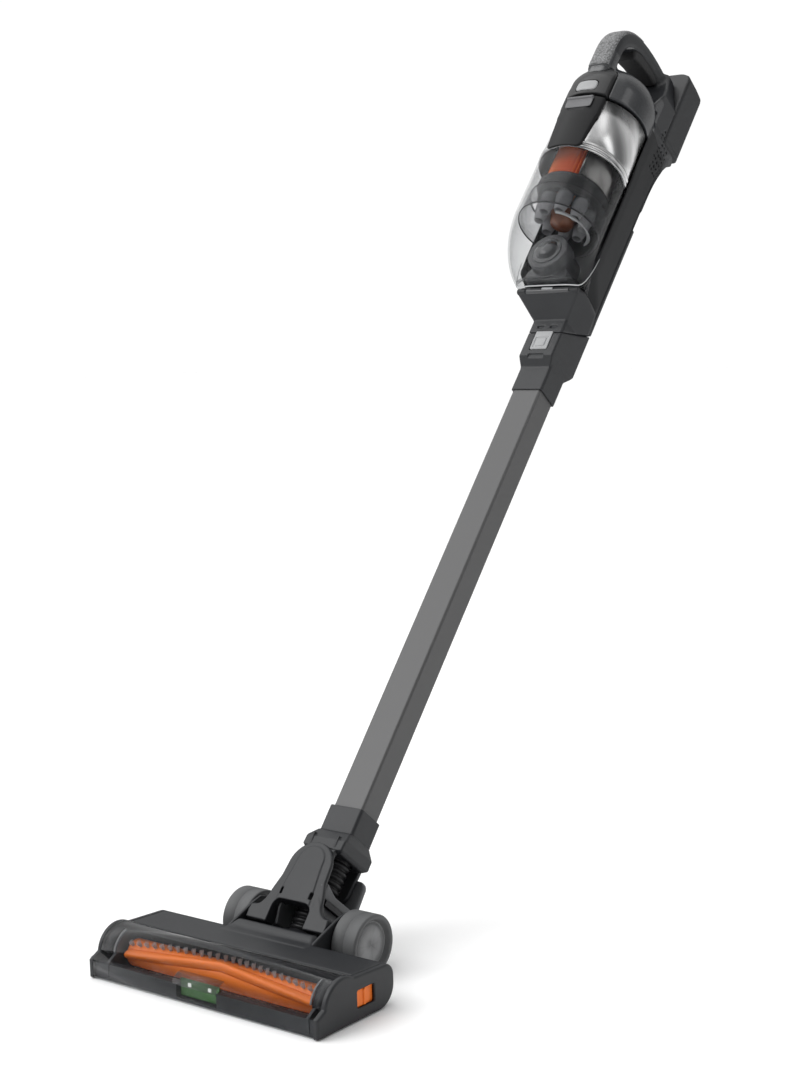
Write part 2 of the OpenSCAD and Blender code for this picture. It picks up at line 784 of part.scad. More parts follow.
module fan_impeller() {
    color("#3a3b3d") on_stick() translate([0, -bowl_v, 0]) {
        translate([0, 0, 911]) cylinder(r = shaft_r, h = 16);
        translate([0, 0, 925]) cylinder(r = 27, h = 2);
        translate([0, 0, 925]) cylinder(r = 7, h = 14);
        for (a = [0:40:320]) rotate([0, 0, a]) translate([6, -0.8, 926]) cube([20, 1.6, 9]);
    }
}

module control_board() {
    color("green") on_stick() block([-20, -105.9, 897], [20, -104.4, 925]);
}

module side_vents() {
    color("#2e2f31") on_stick() both_sides() on_flank() difference() {
        block([-2.2, 3, vents_low], [-0.2, 19, vents_high]);
        for (i = [0:2], j = [0:8])
            along_x(-5, 1) translate([4.4 + 4.9 * i, vents_low + 1.8 + 4.8 * j])
                polygon((i + j) % 2 == 0 ? [[0, 0], [3, 0], [1.5, 2.8]] : [[0, 2.8], [3, 2.8], [1.5, 0]]);
    }
}

// Hand unit: dust bowl

module bowl_pin() {
    color("silver") on_stick() rod_x(-hinge_v, hinge_z, 1.5, -32.8, 32.8);
}

// Side outline of the bowl, moved inwards by t.
function bowl_side(t) = concat([[-15, bowl_z + t], [-45, bowl_z + t]],
    [for (p = oval([-45, 753], 70 - t, 60 - t, -90, 0, 12)) [-90 - p[0], p[1]]],
        [[-115 + t, bowl_top + 1], [-15, bowl_top + 1]]);

module bowl_solid(t, top) {
    intersection() {
        translate([0, -bowl_v, 680]) cylinder(r = bowl_r - t, h = top - 680, $fn = 96);
        along_x(-60, 60) polygon(bowl_side(t));
        along_y(-130, 0) polygon([[t - 36, 680], [t - 36, 694], [t - 44, 716], [-60, 752], [-60, 900],
            [60, 900], [60, 752],
            [44 - t, 716], [36 - t, 694], [36 - t, 680]]);
    }
}

module dust_bowl() {
    color([0.6, 0.62, 0.64, 0.35]) on_stick() difference() {
        bowl_solid(0, bowl_top);
        bowl_solid(bowl_wall, bowl_top + 5);
        // Inlet
        block([-14, -40, 690], [14, -22, 697]);
        // Thinner rim for the band
        translate([0, -bowl_v, 822]) difference() {
            cylinder(r = bowl_r + 2, h = 80);
            translate([0, 0, -1]) cylinder(r = bowl_r - 1.2, h = 82, $fn = 96);
        }
    }
}

module bowl_band() {
    color("silver") on_stick() translate([0, -bowl_v, 0]) {
        for (z = [822.2, 827.4]) ring(bowl_r, bowl_r - 1.15, z, z + 4.4);
        ring(bowl_r - 0.2, bowl_r - 1.15, 831.9, bowl_top - 0.2);
    }
}

module ring(outer, inner, z0, z1) {
    difference() {
        translate([0, 0, z0]) cylinder(r = outer, h = z1 - z0, $fn = 96);
        translate([0, 0, z0 - 1]) cylinder(r = inner, h = z1 - z0 + 2, $fn = 96);
    }
}

// Tongue on the bowl's front, with the seat of its latch
module bowl_panel() {
    color("#26272a") on_stick() difference() {
        along_y(-118.5, -90) polygon([[-24, 889.8], [24, 889.8], [24, 838], [15, 824], [-15, 824],
            [-24, 838]]);
        translate([0, -bowl_v, 800]) cylinder(r = bowl_r + 0.05, h = 120, $fn = 96);
        block([-16.4, -125, 870.4], [16.4, -116.5, 895]);
    }
}

module bowl_skirt() {
    color([0.6, 0.62, 0.64, 0.35]) on_stick() translate([0, -bowl_v, 0]) ring(43, 41.6, 751, 779.8);
}

module filter() {
    color("#e8632a") on_stick() translate([0, -bowl_v, 790]) linear_extrude(90) difference() {
        polygon([for (i = [0:2 * pleats - 1]) (i % 2 == 0 ? 33.5 : 29) * [cos(180 * i / pleats),
            sin(180 * i / pleats)]]);
        polygon([for (i = [0:2 * pleats - 1]) (i % 2 == 0 ? 32.3 : 27.8) * [cos(180 * i / pleats),
            sin(180 * i / pleats)]]);
    }
}

// Caps of the filter and the cyclone body under it
module filter_frame() {
    color("#2a2a2c") on_stick() translate([0, -bowl_v, 0]) {
        ring(45.7, 26, 880.1, 888);
        ring(40, 27, 779.9, 789.9);
        ring(26.9, 24.9, 779.9, 880.1);
        ring(34, 10, 762, 779.8);
        ring(18, 10, 753, 762);
    }
}

// Duct that turns the air into the bowl, with the barrel of the bowl's hinge
module inlet_duct() {
    color("#232325") on_stick() {
        intersection() {
            difference() {
                union() {
                    block([-24, -58, bowl_z + bowl_wall + 0.05], [24, -20, 712]);
                    block([-16, -58, 711], [16, -24, 722]);
                    rod_y(0, flap_z, 21, flap_y, -46);
                    rod_y(0, flap_z, 18, -47, -40);
                }
                rod_y(0, flap_z, 14.6, -80, -44);
                block([-14, -50, 690], [14, -26, 722]);
            }
            bowl_solid(bowl_wall + 0.05, bowl_top);
        }
        difference() {
            rod_x(-hinge_v, hinge_z, 3, -26, 26);
            rod_x(-hinge_v, hinge_z, 1.5 + running, -27, 27);
        }
        block([-26, -hinge_v - 2.4, hinge_z + 1.6], [26, -hinge_v + 2.4, bowl_z - 0.02]);
    }
}

module inlet_flap() {
    color("#161618") on_stick() {
        rod_y(0, flap_z, 16.6, flap_y - 2.3, flap_y - 0.4);
        rod_y(0, flap_z, 10, flap_y - 3.6, flap_y - 2.2);
        rod_x(flap_y - 1.8, flap_hinge_z, 1.4, -8, 8);
    }
}

// Battery pack

module battery_case() {
    half = pack_x - 1;
    color("#3c3e40") on_stick() difference() {
        intersection() {
            translate([0, (pack_front + pack_back) / 2, 0]) rounded_bar(2 * half, pack_back - pack_front,
                pack_r, pack_low, pack_high);
            along_x(-half, half) polygon([[pack_front, pack_low + 3], [pack_front + 3, pack_low],
                [pack_back - 4, pack_low],
                [pack_back, pack_low + 5], [pack_back, pack_high - 17], [pack_back - 4, pack_high - 11],
                [pack_back - 14, pack_high - 3.5], [pack_front + 8, pack_high],
                    [pack_front + 2, pack_high], [pack_front, pack_high - 2]]);
            along_y(-20, 40) polygon([[-half + 3, pack_low], [-half, pack_low + 3], [-half, pack_high - 13],
                [-half + 4, pack_high - 6], [-18, pack_high], [18, pack_high], [half - 4, pack_high - 6],
                    [half, pack_high - 13],
                [half, pack_low + 3], [half - 3, pack_low]]);
        }
        // Room for the cells
        block([-28.4, -3, pack_low + 6], [28.4, 18, pack_high - 24]);
        // Charging socket
        rod_y(0, pack_low + 14, 2.75, pack_back - 9, pack_back + 1);
        // Seat of the latch
        block([-9.4, pack_back - 6.4, pack_high - 38.4], [9.4, pack_back + 1, pack_high - 25.6]);
    }
}

module battery_cells() {
    color("#3f6fa0") on_stick() for (x = [-19, 0, 19]) translate([x, 6.3,
        pack_low + 6.5]) cylinder(r = 9.2, h = 65);
}

module battery_latch() {
    color("#b9babc") on_stick() block([-9, pack_back - 4.6, pack_high - 38],
        [9, pack_back + 0.6, pack_high - 26]);
}

nozzle_base();
nozzle_cover();
brush_window();
end_cap_left();
end_cap_right();
sole_strip();
led_board();
led_lamps();
air_duct();
brush_motor();
drive_belt();
motor_pinion();
brush_core();
brush_fins();
brush_bristles();
brush_pulley();
brush_bearings();
brush_release();
sole_rollers();
axle_pins();
wheel_left_tyre();
wheel_left_hub();
wheel_right_tyre();
wheel_right_hub();
yoke_front();
yoke_rear();
hose_clamp();
swing_pins();
head_hose();
neck_hose();
neck_socket();
wand_tube();
wand_connector();
wand_button();
wand_wires();
body_left();
body_right();
rear_cover();
inlet_spigot();
control_panel();
power_button();
bowl_latch();
handle_grip();
handle_pad();
fan_motor();
fan_impeller();
control_board();
side_vents();
bowl_pin();
dust_bowl();
bowl_panel();
bowl_band();
bowl_skirt();
filter();
filter_frame();
inlet_duct();
inlet_flap();
battery_case();
battery_cells();
battery_latch();
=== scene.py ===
import json
import math

import bmesh
import bpy
import numpy as np
import openvdb as vdb
from mathutils import Matrix, Vector


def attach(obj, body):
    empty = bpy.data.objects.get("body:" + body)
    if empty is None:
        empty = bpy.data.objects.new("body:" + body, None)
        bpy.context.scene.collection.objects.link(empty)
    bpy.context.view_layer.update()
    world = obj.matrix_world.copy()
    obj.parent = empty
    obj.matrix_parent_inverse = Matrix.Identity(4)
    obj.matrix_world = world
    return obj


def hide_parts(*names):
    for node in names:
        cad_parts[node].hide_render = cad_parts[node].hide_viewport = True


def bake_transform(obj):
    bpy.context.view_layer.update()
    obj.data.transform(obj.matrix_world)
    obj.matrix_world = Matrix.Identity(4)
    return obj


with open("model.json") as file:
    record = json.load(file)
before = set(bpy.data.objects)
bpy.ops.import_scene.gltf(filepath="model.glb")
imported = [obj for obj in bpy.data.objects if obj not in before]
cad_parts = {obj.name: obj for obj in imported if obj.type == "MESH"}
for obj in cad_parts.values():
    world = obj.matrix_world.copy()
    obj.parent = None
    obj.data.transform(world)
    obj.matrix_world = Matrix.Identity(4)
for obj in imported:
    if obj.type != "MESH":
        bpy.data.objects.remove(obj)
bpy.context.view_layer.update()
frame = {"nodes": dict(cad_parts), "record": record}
MM = 0.001
LEAN = 40.0  # degrees
AXLE = (0, 0.060, 0.027)  # of the wheels, about which the stick leans back
# Shapes are drawn in millimetres. STICK places those above the axle, HEAD those of the floor head.
HEAD = Matrix.Scale(MM, 4)
STICK = Matrix.Translation(AXLE) @ Matrix.Rotation(math.radians(-LEAN), 4, "X") @ HEAD
scene = bpy.context.scene
scene.view_settings.view_transform = "Standard"

# ---------------------------------------------------------------- camera, light, floor
YAW, PITCH, ROLL = 0.6645, 0.1180, -0.0305  # radians
CAMERA_AT, LENS = (1.0400, -1.1245, 0.5593), 61.64
NEAR_LIGHT, BACKDROP = 0.27, 1.03
forward = Vector((-math.sin(YAW) * math.cos(PITCH), math.cos(YAW) * math.cos(PITCH), -math.sin(PITCH)))
side = Vector((math.cos(YAW), math.sin(YAW), 0))
above = side.cross(forward)
right = math.cos(ROLL) * side + math.sin(ROLL) * above
upward = -math.sin(ROLL) * side + math.cos(ROLL) * above
camera = bpy.data.objects.new("camera", bpy.data.cameras.new("camera"))
scene.collection.objects.link(camera)
camera.matrix_world = Matrix(
    [(right[i], upward[i], -forward[i], CAMERA_AT[i]) for i in range(3)] + [(0, 0, 0, 1)])
camera.data.sensor_width = 36
camera.data.lens = LENS
scene.camera = camera


def area(name, place, target, size, power):
    lamp = bpy.data.objects.new(name, bpy.data.lights.new(name, "AREA"))
    lamp.data.shape = "RECTANGLE"
    lamp.data.size, lamp.data.size_y = size
    lamp.data.energy = power
    scene.collection.objects.link(lamp)
    lamp.location = place
    lamp.rotation_euler = (Vector(target) - Vector(place)).to_track_quat("-Z", "Y").to_euler()


area("key", (-1.6, -1.9, 2.3), (0, 0.2, 0.4), (1.4, 1.6), 20)
area("rim", (1.9, 0.9, 1.7), (0, 0.3, 0.5), (0.5, 1.9), 5)
area("top", (0.2, 0.5, 2.9), (0, 0.3, 0.3), (2.2, 2.0), 6)
sun = bpy.data.objects.new("wide_sun", bpy.data.lights.new("wide_sun", "SUN"))
sun.data.energy = 1.8
sun.data.angle = math.radians(75)
sun.rotation_euler = (math.radians(24), math.radians(-26), 0)
scene.collection.objects.link(sun)

world = bpy.data.worlds.new("studio")
scene.world = world
world.use_nodes = True
# a white studio: brightest behind the object, dimmer on the near side
sky = world.node_tree
sky.nodes["Background"].inputs[0].default_value = (1, 1, 1, 1)
direction = sky.nodes.new("ShaderNodeTexCoord")
towards = sky.nodes.new("ShaderNodeVectorMath")
towards.operation = "DOT_PRODUCT"
towards.inputs[1].default_value = (-0.88, 0.475, 0)
sky.links.new(direction.outputs["Generated"], towards.inputs[0])
depth = sky.nodes.new("ShaderNodeMapRange")
depth.inputs["From Min"].default_value, depth.inputs["From Max"].default_value = -0.45, 0.72
depth.inputs["To Min"].default_value, depth.inputs["To Max"].default_value = NEAR_LIGHT, BACKDROP
sky.links.new(towards.outputs["Value"], depth.inputs["Value"])
# the backdrop itself is the same pale white on every side
rays = sky.nodes.new("ShaderNodeLightPath")
shown = sky.nodes.new("ShaderNodeMix")
shown.inputs["B"].default_value = BACKDROP
sky.links.new(rays.outputs["Is Camera Ray"], shown.inputs["Factor"])
sky.links.new(depth.outputs[0], shown.inputs["A"])
sky.links.new(shown.outputs["Result"], sky.nodes["Background"].inputs[1])


# ---------------------------------------------------------------- materials
MATERIALS = {}
GRAIN_DEPTH = 0.00006


def new_material(name):
    m = MATERIALS[name] = bpy.data.materials.new(name)
    m.use_nodes = True
    t = m.node_tree
    return t, t.nodes["Principled BSDF"]


def put(node, **values):
    """Set a node's sockets. A space in a socket's name is written as an underscore."""
    for name, value in values.items():
        node.inputs[name.replace("_", " ")].default_value = value
    return node


def noise(t, scale, detail=3.0, rough=0.5, stretch=None):
    where = t.nodes.new("ShaderNodeTexCoord").outputs["Object"]
    n = put(t.nodes.new("ShaderNodeTexNoise"), Scale=scale, Detail=detail, Roughness=rough)
    if stretch:
        turn = put(t.nodes.new("ShaderNodeMapping"), Rotation=stretch[0], Scale=stretch[1])
        t.links.new(where, turn.inputs["Vector"])
        where = turn.outputs[0]
    t.links.new(where, n.inputs["Vector"])
    return n.outputs["Fac"]


def span(t, value, low, high, a=0.3, b=0.7):
    r = t.nodes.new("ShaderNodeMapRange")
    r.inputs["From Min"].default_value, r.inputs["From Max"].default_value = a, b
    r.inputs["To Min"].default_value, r.inputs["To Max"].default_value = low, high
    t.links.new(value, r.inputs["Value"])
    return r.outputs[0]


def blend_colours(t, fac, a, b):
    m = t.nodes.new("ShaderNodeMix")
    m.data_type = "RGBA"
    for socket, value in ((m.inputs[6], a), (m.inputs[7], b)):
        if hasattr(value, "links"):
            t.links.new(value, socket)
        else:
            socket.default_value = (*value, 1)
    t.links.new(fac, m.inputs[0])
    return m.outputs[2]


def add_bump(t, shader, height, strength, distance):
    b = put(t.nodes.new("ShaderNodeBump"), Strength=strength, Distance=distance)
    t.links.new(height, b.inputs["Height"])
    t.links.new(b.outputs[0], shader.inputs["Normal"])


def mix_shaders(t, fac, a, b):
    """Show shader a where fac is 0 and b where it is 1."""
    mix = t.nodes.new("ShaderNodeMixShader")
    for socket, value in zip(mix.inputs, (fac, a.outputs[0], b.outputs[0])):
        t.links.new(value, socket)
    t.links.new(mix.outputs[0], t.nodes["Material Output"].inputs["Surface"])


def shade(c, k):
    return tuple(min(1.0, v * k) for v in c)


def plastic(name, colour, rough=0.42, grain=2600.0, bump=0.25, vary=0.10, edge=2.1, coat=0.0, metallic=0.0,
            spec=0.34, matt=0.9):
    """Moulded plastic: spark-eroded grain, faint mottling, and a painted highlight that lightens its sharp
    edges.
    """
    t, p = new_material(name)
    put(p, Metallic=metallic, Specular_IOR_Level=spec, Coat_Weight=coat, Coat_Roughness=0.12)
    cloud = noise(t, 38.0, 5.0, 0.6)
    body = blend_colours(t, span(t, cloud, 0, 1), shade(colour, 1 - vary), shade(colour, 1 + vary))
    # painted highlight: faces at sharp edges, found by pointiness, get their colour lightened by the factor edge
    geometry = t.nodes.new("ShaderNodeNewGeometry")
    edge_highlight = span(t, geometry.outputs["Pointiness"], 0, 1, 0.512, 0.58)
    t.links.new(blend_colours(t, edge_highlight, body, shade(colour, edge)), p.inputs["Base Color"])
    fine = noise(t, grain, 2.0, 0.55)
    t.links.new(span(t, fine, rough - 0.05, rough + 0.09), p.inputs["Roughness"])
    add_bump(t, p, fine, bump, GRAIN_DEPTH)
    # textured plastic loses its gloss at a grazing angle
    dull = put(t.nodes.new("ShaderNodeBsdfDiffuse"), Color=(*colour, 1))
    weight = t.nodes.new("ShaderNodeLayerWeight")
    mix_shaders(t, span(t, weight.outputs["Facing"], 0, matt, 0.5, 0.92), p, dull)


def leather(name, colour):
    """Soft grip skin with a coarse pebbled surface, paler on top of the pebbles as painted light and darker in
    the hollows between them as painted shade.
    """
    t, p = new_material(name)
    where = t.nodes.new("ShaderNodeTexCoord")
    pebbles = put(t.nodes.new("ShaderNodeTexVoronoi"), Scale=560.0)
    t.links.new(where.outputs["Object"], pebbles.inputs["Vector"])
    patches = noise(t, 300.0, 3.0, 0.7)
    height = t.nodes.new("ShaderNodeMath")
    height.operation = "SUBTRACT"
    t.links.new(patches, height.inputs[0])
    t.links.new(pebbles.outputs["Distance"], height.inputs[1])
    # painted shade and light: the colour darkens towards the hollows between pebbles and lightens on their tops,
    # with random patches
    t.links.new(blend_colours(t, span(t, height.outputs[0], 0, 1, -0.35, 0.5), shade(colour, 0.45),
                              shade(colour, 1.7)),
                p.inputs["Base Color"])
    put(p, Roughness=0.6, Specular_IOR_Level=0.3)
    add_bump(t, p, height.outputs[0], 0.9, 0.0006)


def turned(name, colour, rough=0.28, turns=(1, 60, 1), dark=0.8, light=1.15, scale=120.0, detail=4.0):
    """Machined or drawn metal with lines along one way: fine machining lines, or at a low scale wide streaks of
    painted reflection.
    """
    t, p = new_material(name)
    put(p, Metallic=1.0)
    lines = noise(t, scale, detail, 0.6, ((math.radians(LEAN), 0, 0), turns))
    t.links.new(blend_colours(t, span(t, lines, 0, 1), shade(colour, dark), shade(colour, light)),
                p.inputs["Base Color"])
    t.links.new(span(t, lines, rough - 0.06, rough + 0.1), p.inputs["Roughness"])
    add_bump(t, p, lines, 0.15, 0.00005)


def clear(name, tint, smoke, facing=0.1, low=0.07, high=0.85, rough=0.03, mark=0.04):
    """A thin clear pane: see-through face on, mirror-like and darker at a grazing angle."""
    t, p = new_material(name)
    put(p, Coat_Weight=0.6, Coat_Roughness=0.02)
    scuffs = noise(t, 55.0, 6.0, 0.65)
    t.links.new(blend_colours(t, span(t, scuffs, 0, 1), shade(smoke, 0.85), shade(smoke, 1.2)),
                p.inputs["Base Color"])
    t.links.new(span(t, scuffs, rough, rough + 0.03), p.inputs["Roughness"])
    see = put(t.nodes.new("ShaderNodeBsdfTransparent"), Color=(*tint, 1))
    weight = put(t.nodes.new("ShaderNodeLayerWeight"), Blend=facing)
    edge = span(t, weight.outputs["Facing"], low, high, 0.0, 1.0)
    dust = t.nodes.new("ShaderNodeMath")
    dust.operation = "ADD"
    t.links.new(edge, dust.inputs[0])
    t.links.new(span(t, scuffs, 0, mark, 0.45, 0.75), dust.inputs[1])
    mix_shaders(t, dust.outputs[0], see, p)


def glow(name, colour, strength):
    t, p = new_material(name)
    put(p, Emission_Strength=strength, Emission_Color=(*colour, 1), Roughness=0.25)
    speck = noise(t, 900.0)
    t.links.new(blend_colours(t, span(t, speck, 0, 1), shade(colour, 0.9), colour), p.inputs["Base Color"])


def board(name):
    """Green circuit board with lighter tracks."""
    t, p = new_material(name)
    where = t.nodes.new("ShaderNodeTexCoord")
    cells = put(t.nodes.new("ShaderNodeTexVoronoi"), Scale=420.0)
    cells.distance = "MANHATTAN"
    t.links.new(where.outputs["Object"], cells.inputs["Vector"])
    t.links.new(blend_colours(t, span(t, cells.outputs["Distance"], 0, 1, 0.35, 0.5), (0.022, 0.095, 0.018),
                              (0.06, 0.18, 0.045)),
                p.inputs["Base Color"])
    put(p, Roughness=0.3)
    add_bump(t, p, cells.outputs["Distance"], 0.2, 0.0001)


CHARCOAL = (0.019, 0.0202, 0.0225)
DARK = (0.017, 0.018, 0.020)
# wide dark and light streaks painted into the colour, as painted reflections
REFLECTION_STREAKS = {"turns": (70, 70, 1), "dark": 0.3, "scale": 0.55, "detail": 1.5}
plastic("charcoal_plastic", CHARCOAL, 0.40)
plastic("dark_plastic", DARK, 0.42)
plastic("near_black_plastic", (0.007, 0.007, 0.008), 0.45)
plastic("gloss_black", (0.0145, 0.0147, 0.0155), 0.30, bump=0.05, coat=0.1, spec=0.25, matt=0.5)
plastic("grey_plastic", (0.12, 0.12, 0.125), 0.4)
leather("grip_grey", (0.19, 0.192, 0.195))
plastic("button_grey", (0.33, 0.335, 0.34), 0.35, edge=1.2)
plastic("tube_grey", (0.073, 0.073, 0.074), 0.36, grain=3200, bump=0.15, vary=0.04, edge=1.2, metallic=0.25)
clear("clear_plastic", (0.975, 0.978, 0.98), (0.05, 0.052, 0.055), low=0.05, mark=0.015)
# painted reflections: the silver band and the sheet round the filter get streaks of painted reflection in their
# colour
turned("silver", (0.84, 0.85, 0.86), 0.22, light=1.6, **REFLECTION_STREAKS)
turned("painted_reflection_sheet", (0.20, 0.195, 0.19), 0.3, light=1.7, **REFLECTION_STREAKS)
# painted shade: a darker copy of the charcoal for the casing's sides towards the spine
plastic("flank", shade(CHARCOAL, 0.55), 0.5, spec=0.2)
# painted light: a lighter, glossier copy of the charcoal for the dome above the bowl
plastic("dome", shade(CHARCOAL, 1.25), 0.26, bump=0.1, coat=0.35, spec=0.5, matt=0.95)
plastic("tongue", (0.0105, 0.0107, 0.0115), 0.36, bump=0.05, spec=0.13, matt=0.5)
plastic("amber", (0.12, 0.04, 0.018), 0.4, coat=0.3)
plastic("ball", (0.035, 0.036, 0.038), 0.14, bump=0.02, coat=0.6, matt=0.3)
# painted light: the rear guard sits in shadow, so its grey is painted far lighter than the yoke's charcoal
plastic("guard_painted_light_grey", (0.10, 0.103, 0.108), 0.42)
turned("steel", (0.5, 0.51, 0.53))
plastic("orange", (0.92, 0.20, 0.022), 0.38, edge=1.15, vary=0.08)
plastic("bristle_grey", (0.30, 0.30, 0.31), 0.6, grain=5000, bump=0.8, vary=0.3)
plastic("rubber", (0.018, 0.018, 0.019), 0.62, grain=1800, bump=0.5, edge=1.4)
plastic("tyre_grey", (0.092, 0.094, 0.096), 0.5, grain=1900, bump=0.4, edge=1.3)
plastic("hub_grey", (0.195, 0.197, 0.20), 0.42, edge=1.3)
board("board_green")
glow("lamp_white", (0.95, 0.96, 0.9), 0.8)
plastic("cell_blue", (0.06, 0.15, 0.36), 0.25, coat=0.4)
clear("smoked", (0.93, 0.935, 0.94), (0.03, 0.031, 0.033), facing=0.06, low=0.02, high=0.8, mark=0.004)
clear("skirt_clear", (0.93, 0.93, 0.935), (0.06, 0.06, 0.062), low=0.08, high=0.9, mark=0.015)
# painted highlight: light glossy grey for the bead on the bowl's lower front edge
plastic("rim_highlight_grey", (0.27, 0.275, 0.28), 0.2, bump=0.02, coat=0.3)
plastic("duct_grey", (0.052, 0.053, 0.056), 0.3, bump=0.05, coat=0.3)
plastic("filter_orange", (0.80, 0.17, 0.04), 0.7, grain=2200, bump=1.0, vary=0.25)
plastic("floor", (0.97, 0.97, 0.97), 0.6, grain=400, bump=0.05, vary=0.015, edge=1.0)
bpy.ops.mesh.primitive_plane_add(size=30, location=(0, 0, 0))
floor = bpy.context.object
floor.name = "floor"
floor.data.materials.append(MATERIALS["floor"])


# ---------------------------------------------------------------- shapes from distance fields
def smin(a, b, k):
    """Two distances as one solid, blended over a width of about k."""
    h = np.clip(0.5 + 0.5 * (b - a) / k, 0, 1)
    return b * (1 - h) + a * h - k * h * (1 - h)


def smax(a, b, k):
    """What two distances share, with the edge blended over about k."""
    return -smin(-a, -b, k)


def poly_distance(points, a, b):
    """Signed distance to a closed polygon, over the grid a by b."""
    a, b = a[:, None], b[None, :]
    d = np.full((a.size, b.size), 1e9)
    inside = np.zeros(d.shape, bool)
    for i in range(len(points)):
        (x0, y0), (x1, y1) = points[i - 1], points[i]
        ex, ey, wx, wy = x1 - x0, y1 - y0, a - x0, b - y0
        t = np.clip((wx * ex + wy * ey) / (ex * ex + ey * ey + 1e-12), 0, 1)
        d = np.minimum(d, (wx - ex * t) ** 2 + (wy - ey * t) ** 2)
        crosses = ((y0 > b) != (y1 > b)) & (a < ex * (b - y0) / (ey if abs(ey) > 1e-12 else 1e-12) + x0)
        inside ^= crosses
    d = np.sqrt(d)
    return np.where(inside, -d, d).astype(np.float32)


class Field:
    """A grid of distances in millimetres. Halved fields hold x >= 0 and are mirrored when meshed."""

    def __init__(self, low, high, step, halved=True):
        self.halved, self.step = halved, step
        low = [0.0 if halved else low[0], low[1], low[2]]
        self.low = low
        self.x, self.y, self.z = (low[i] + step * np.arange(int(math.ceil((high[i] - low[i]) / step)) + 1)
                                  for i in range(3))
        self.X, self.Y, self.Z = self.x[:, None, None], self.y[None, :, None], self.z[None, None, :]

    def yz(self, points):
        return poly_distance(points, self.y, self.z)[None, :, :]

    def xz(self, points):
        return poly_distance(points, self.x, self.z)[:, None, :]

    def front(self, half):
        """An outline seen from the front, from its right half."""
        return self.xz(mirrored(half))

    def xy(self, points):
        return poly_distance(points, self.x, self.y)[:, :, None]

    def slab(self, axis, low, high):
        grid = (self.X, self.Y, self.Z)[axis]
        return (np.abs(grid - (low + high) / 2) - (high - low) / 2).astype(np.float32)

    def bar(self, axis, points, low, high, r):
        """An outline drawn out along an axis, with its edges rounded by r."""
        return rounded((self.yz, self.xz, self.xy)[axis](points), self.slab(axis, low, high), r)

    def line(self, axis, a=0.0, b=0.0):
        """Distance from a line along an axis, through a and b on the other two."""
        p, q = [grid for i, grid in enumerate((self.X, self.Y, self.Z)) if i != axis]
        return np.sqrt((p - a) ** 2 + (q - b) ** 2)

    def lathe(self, points, centre):
        """A profile of radius and height turned about a line along Z."""
        r = np.sqrt((self.x[:, None] - centre[0]) ** 2 + (self.y[None, :] - centre[1]) ** 2)
        rs = np.arange(0, r.max() + 2 * self.step, self.step)
        table = poly_distance(points, rs, self.z)
        i = np.minimum((r / self.step).astype(int), len(rs) - 2)
        f = (r / self.step - i)[:, :, None].astype(np.float32)
        return table[i] * (1 - f) + table[i + 1] * f

    def mesh(self, d, name, material, matrix=STICK):
        d = np.broadcast_to(d, (self.x.size, self.y.size, self.z.size)).astype(np.float32)
        low = list(self.low)
        if self.halved:
            d = np.concatenate([d[:0:-1], d], 0)
            low[0] = -self.step * (self.x.size - 1)
        edge = 3 * self.step
        d = np.clip(d, -edge, edge)
        grid = vdb.FloatGrid(edge)
        grid.copyFromArray(np.ascontiguousarray(d), tolerance=0.0)
        points, tris, quads = grid.convertToPolygons(0.0, 0.0)
        verts = np.asarray(points, float) * self.step + np.array(low)
        faces = [tuple(int(k) for k in f[::-1]) for kind in (quads, tris) for f in kind]
        return solid(name, verts, faces, material, matrix)


def rounded(a, b, r):
    """Two crossed distances as one solid with its edge rounded by r."""
    p, q = a + r, b + r
    return np.minimum(np.maximum(p, q), 0) + np.hypot(np.maximum(p, 0), np.maximum(q, 0)) - r


def cut(d, *others):
    for other in others:
        d = np.maximum(d, -other)
    return d


def groove(d, zone, depth):
    """Sink a zone of the surface by a depth."""
    return cut(d, np.maximum(zone, -(d + depth)))


def solid(name, verts, faces, material, matrix, smooth=True):
    data = bpy.data.meshes.new(name)
    m = np.array(matrix)
    v = np.asarray(verts, float) @ m[:3, :3].T + m[:3, 3]
    data.from_pydata(v.tolist(), [], faces)
    data.update()
    data.materials.append(MATERIALS[material])
    obj = bpy.data.objects.new(name, data)
    scene.collection.objects.link(obj)
    data.polygons.foreach_set("use_smooth", [smooth] * len(data.polygons))
    return obj


def piece(obj, body, *nodes, slot=None):
    """Ride a body and stand for nodes; the slot argument is not used."""
    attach(obj, body)
    if nodes:
        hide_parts(*nodes)
    return obj


def mirrored(points):
    """A closed outline from its right half, listed from bottom to top."""
    return [(x, z) for x, z in points] + [(-x, z) for x, z in points[::-1]]


def circle(cx, cy, r, n):
    turns = [2 * math.pi * k / n for k in range(n)]
    return [(cx + r * math.cos(q), cy + r * math.sin(q)) for q in turns]


def arc(cx, cy, r, a0, a1, n=10, ry=None):
    ry = r if ry is None else ry
    angles = [math.radians(a0 + (a1 - a0) * i / n) for i in range(n + 1)]
    return [(cx + r * math.cos(a), cy + ry * math.sin(a)) for a in angles]


def bezier(a, b, c, d, n=14):
    out = []
    for i in range(n + 1):
        t = i / n
        s = 1 - t
        out.append(tuple(s ** 3 * a[k] + 3 * s * s * t * b[k] + 3 * s * t * t * c[k] + t ** 3 * d[k]
                         for k in (0, 1)))
    return out


def box2(x0, x1, y0, y1, r=0.0, n=5):
    if r <= 0:
        return [(x0, y0), (x1, y0), (x1, y1), (x0, y1)]
    return (arc(x1 - r, y1 - r, r, 0, 90, n) + arc(x0 + r, y1 - r, r, 90, 180, n)
            + arc(x0 + r, y0 + r, r, 180, 270, n) + arc(x1 - r, y0 + r, r, 270, 360, n))


def finish_mesh(obj, width, segments=2):
    """Bevel the edges that turn by more than 30 degrees. The width is in metres."""
    b = obj.modifiers.new("bevel", "BEVEL")
    b.width, b.segments, b.limit_method, b.angle_limit = width, segments, "ANGLE", math.radians(30)
    return obj


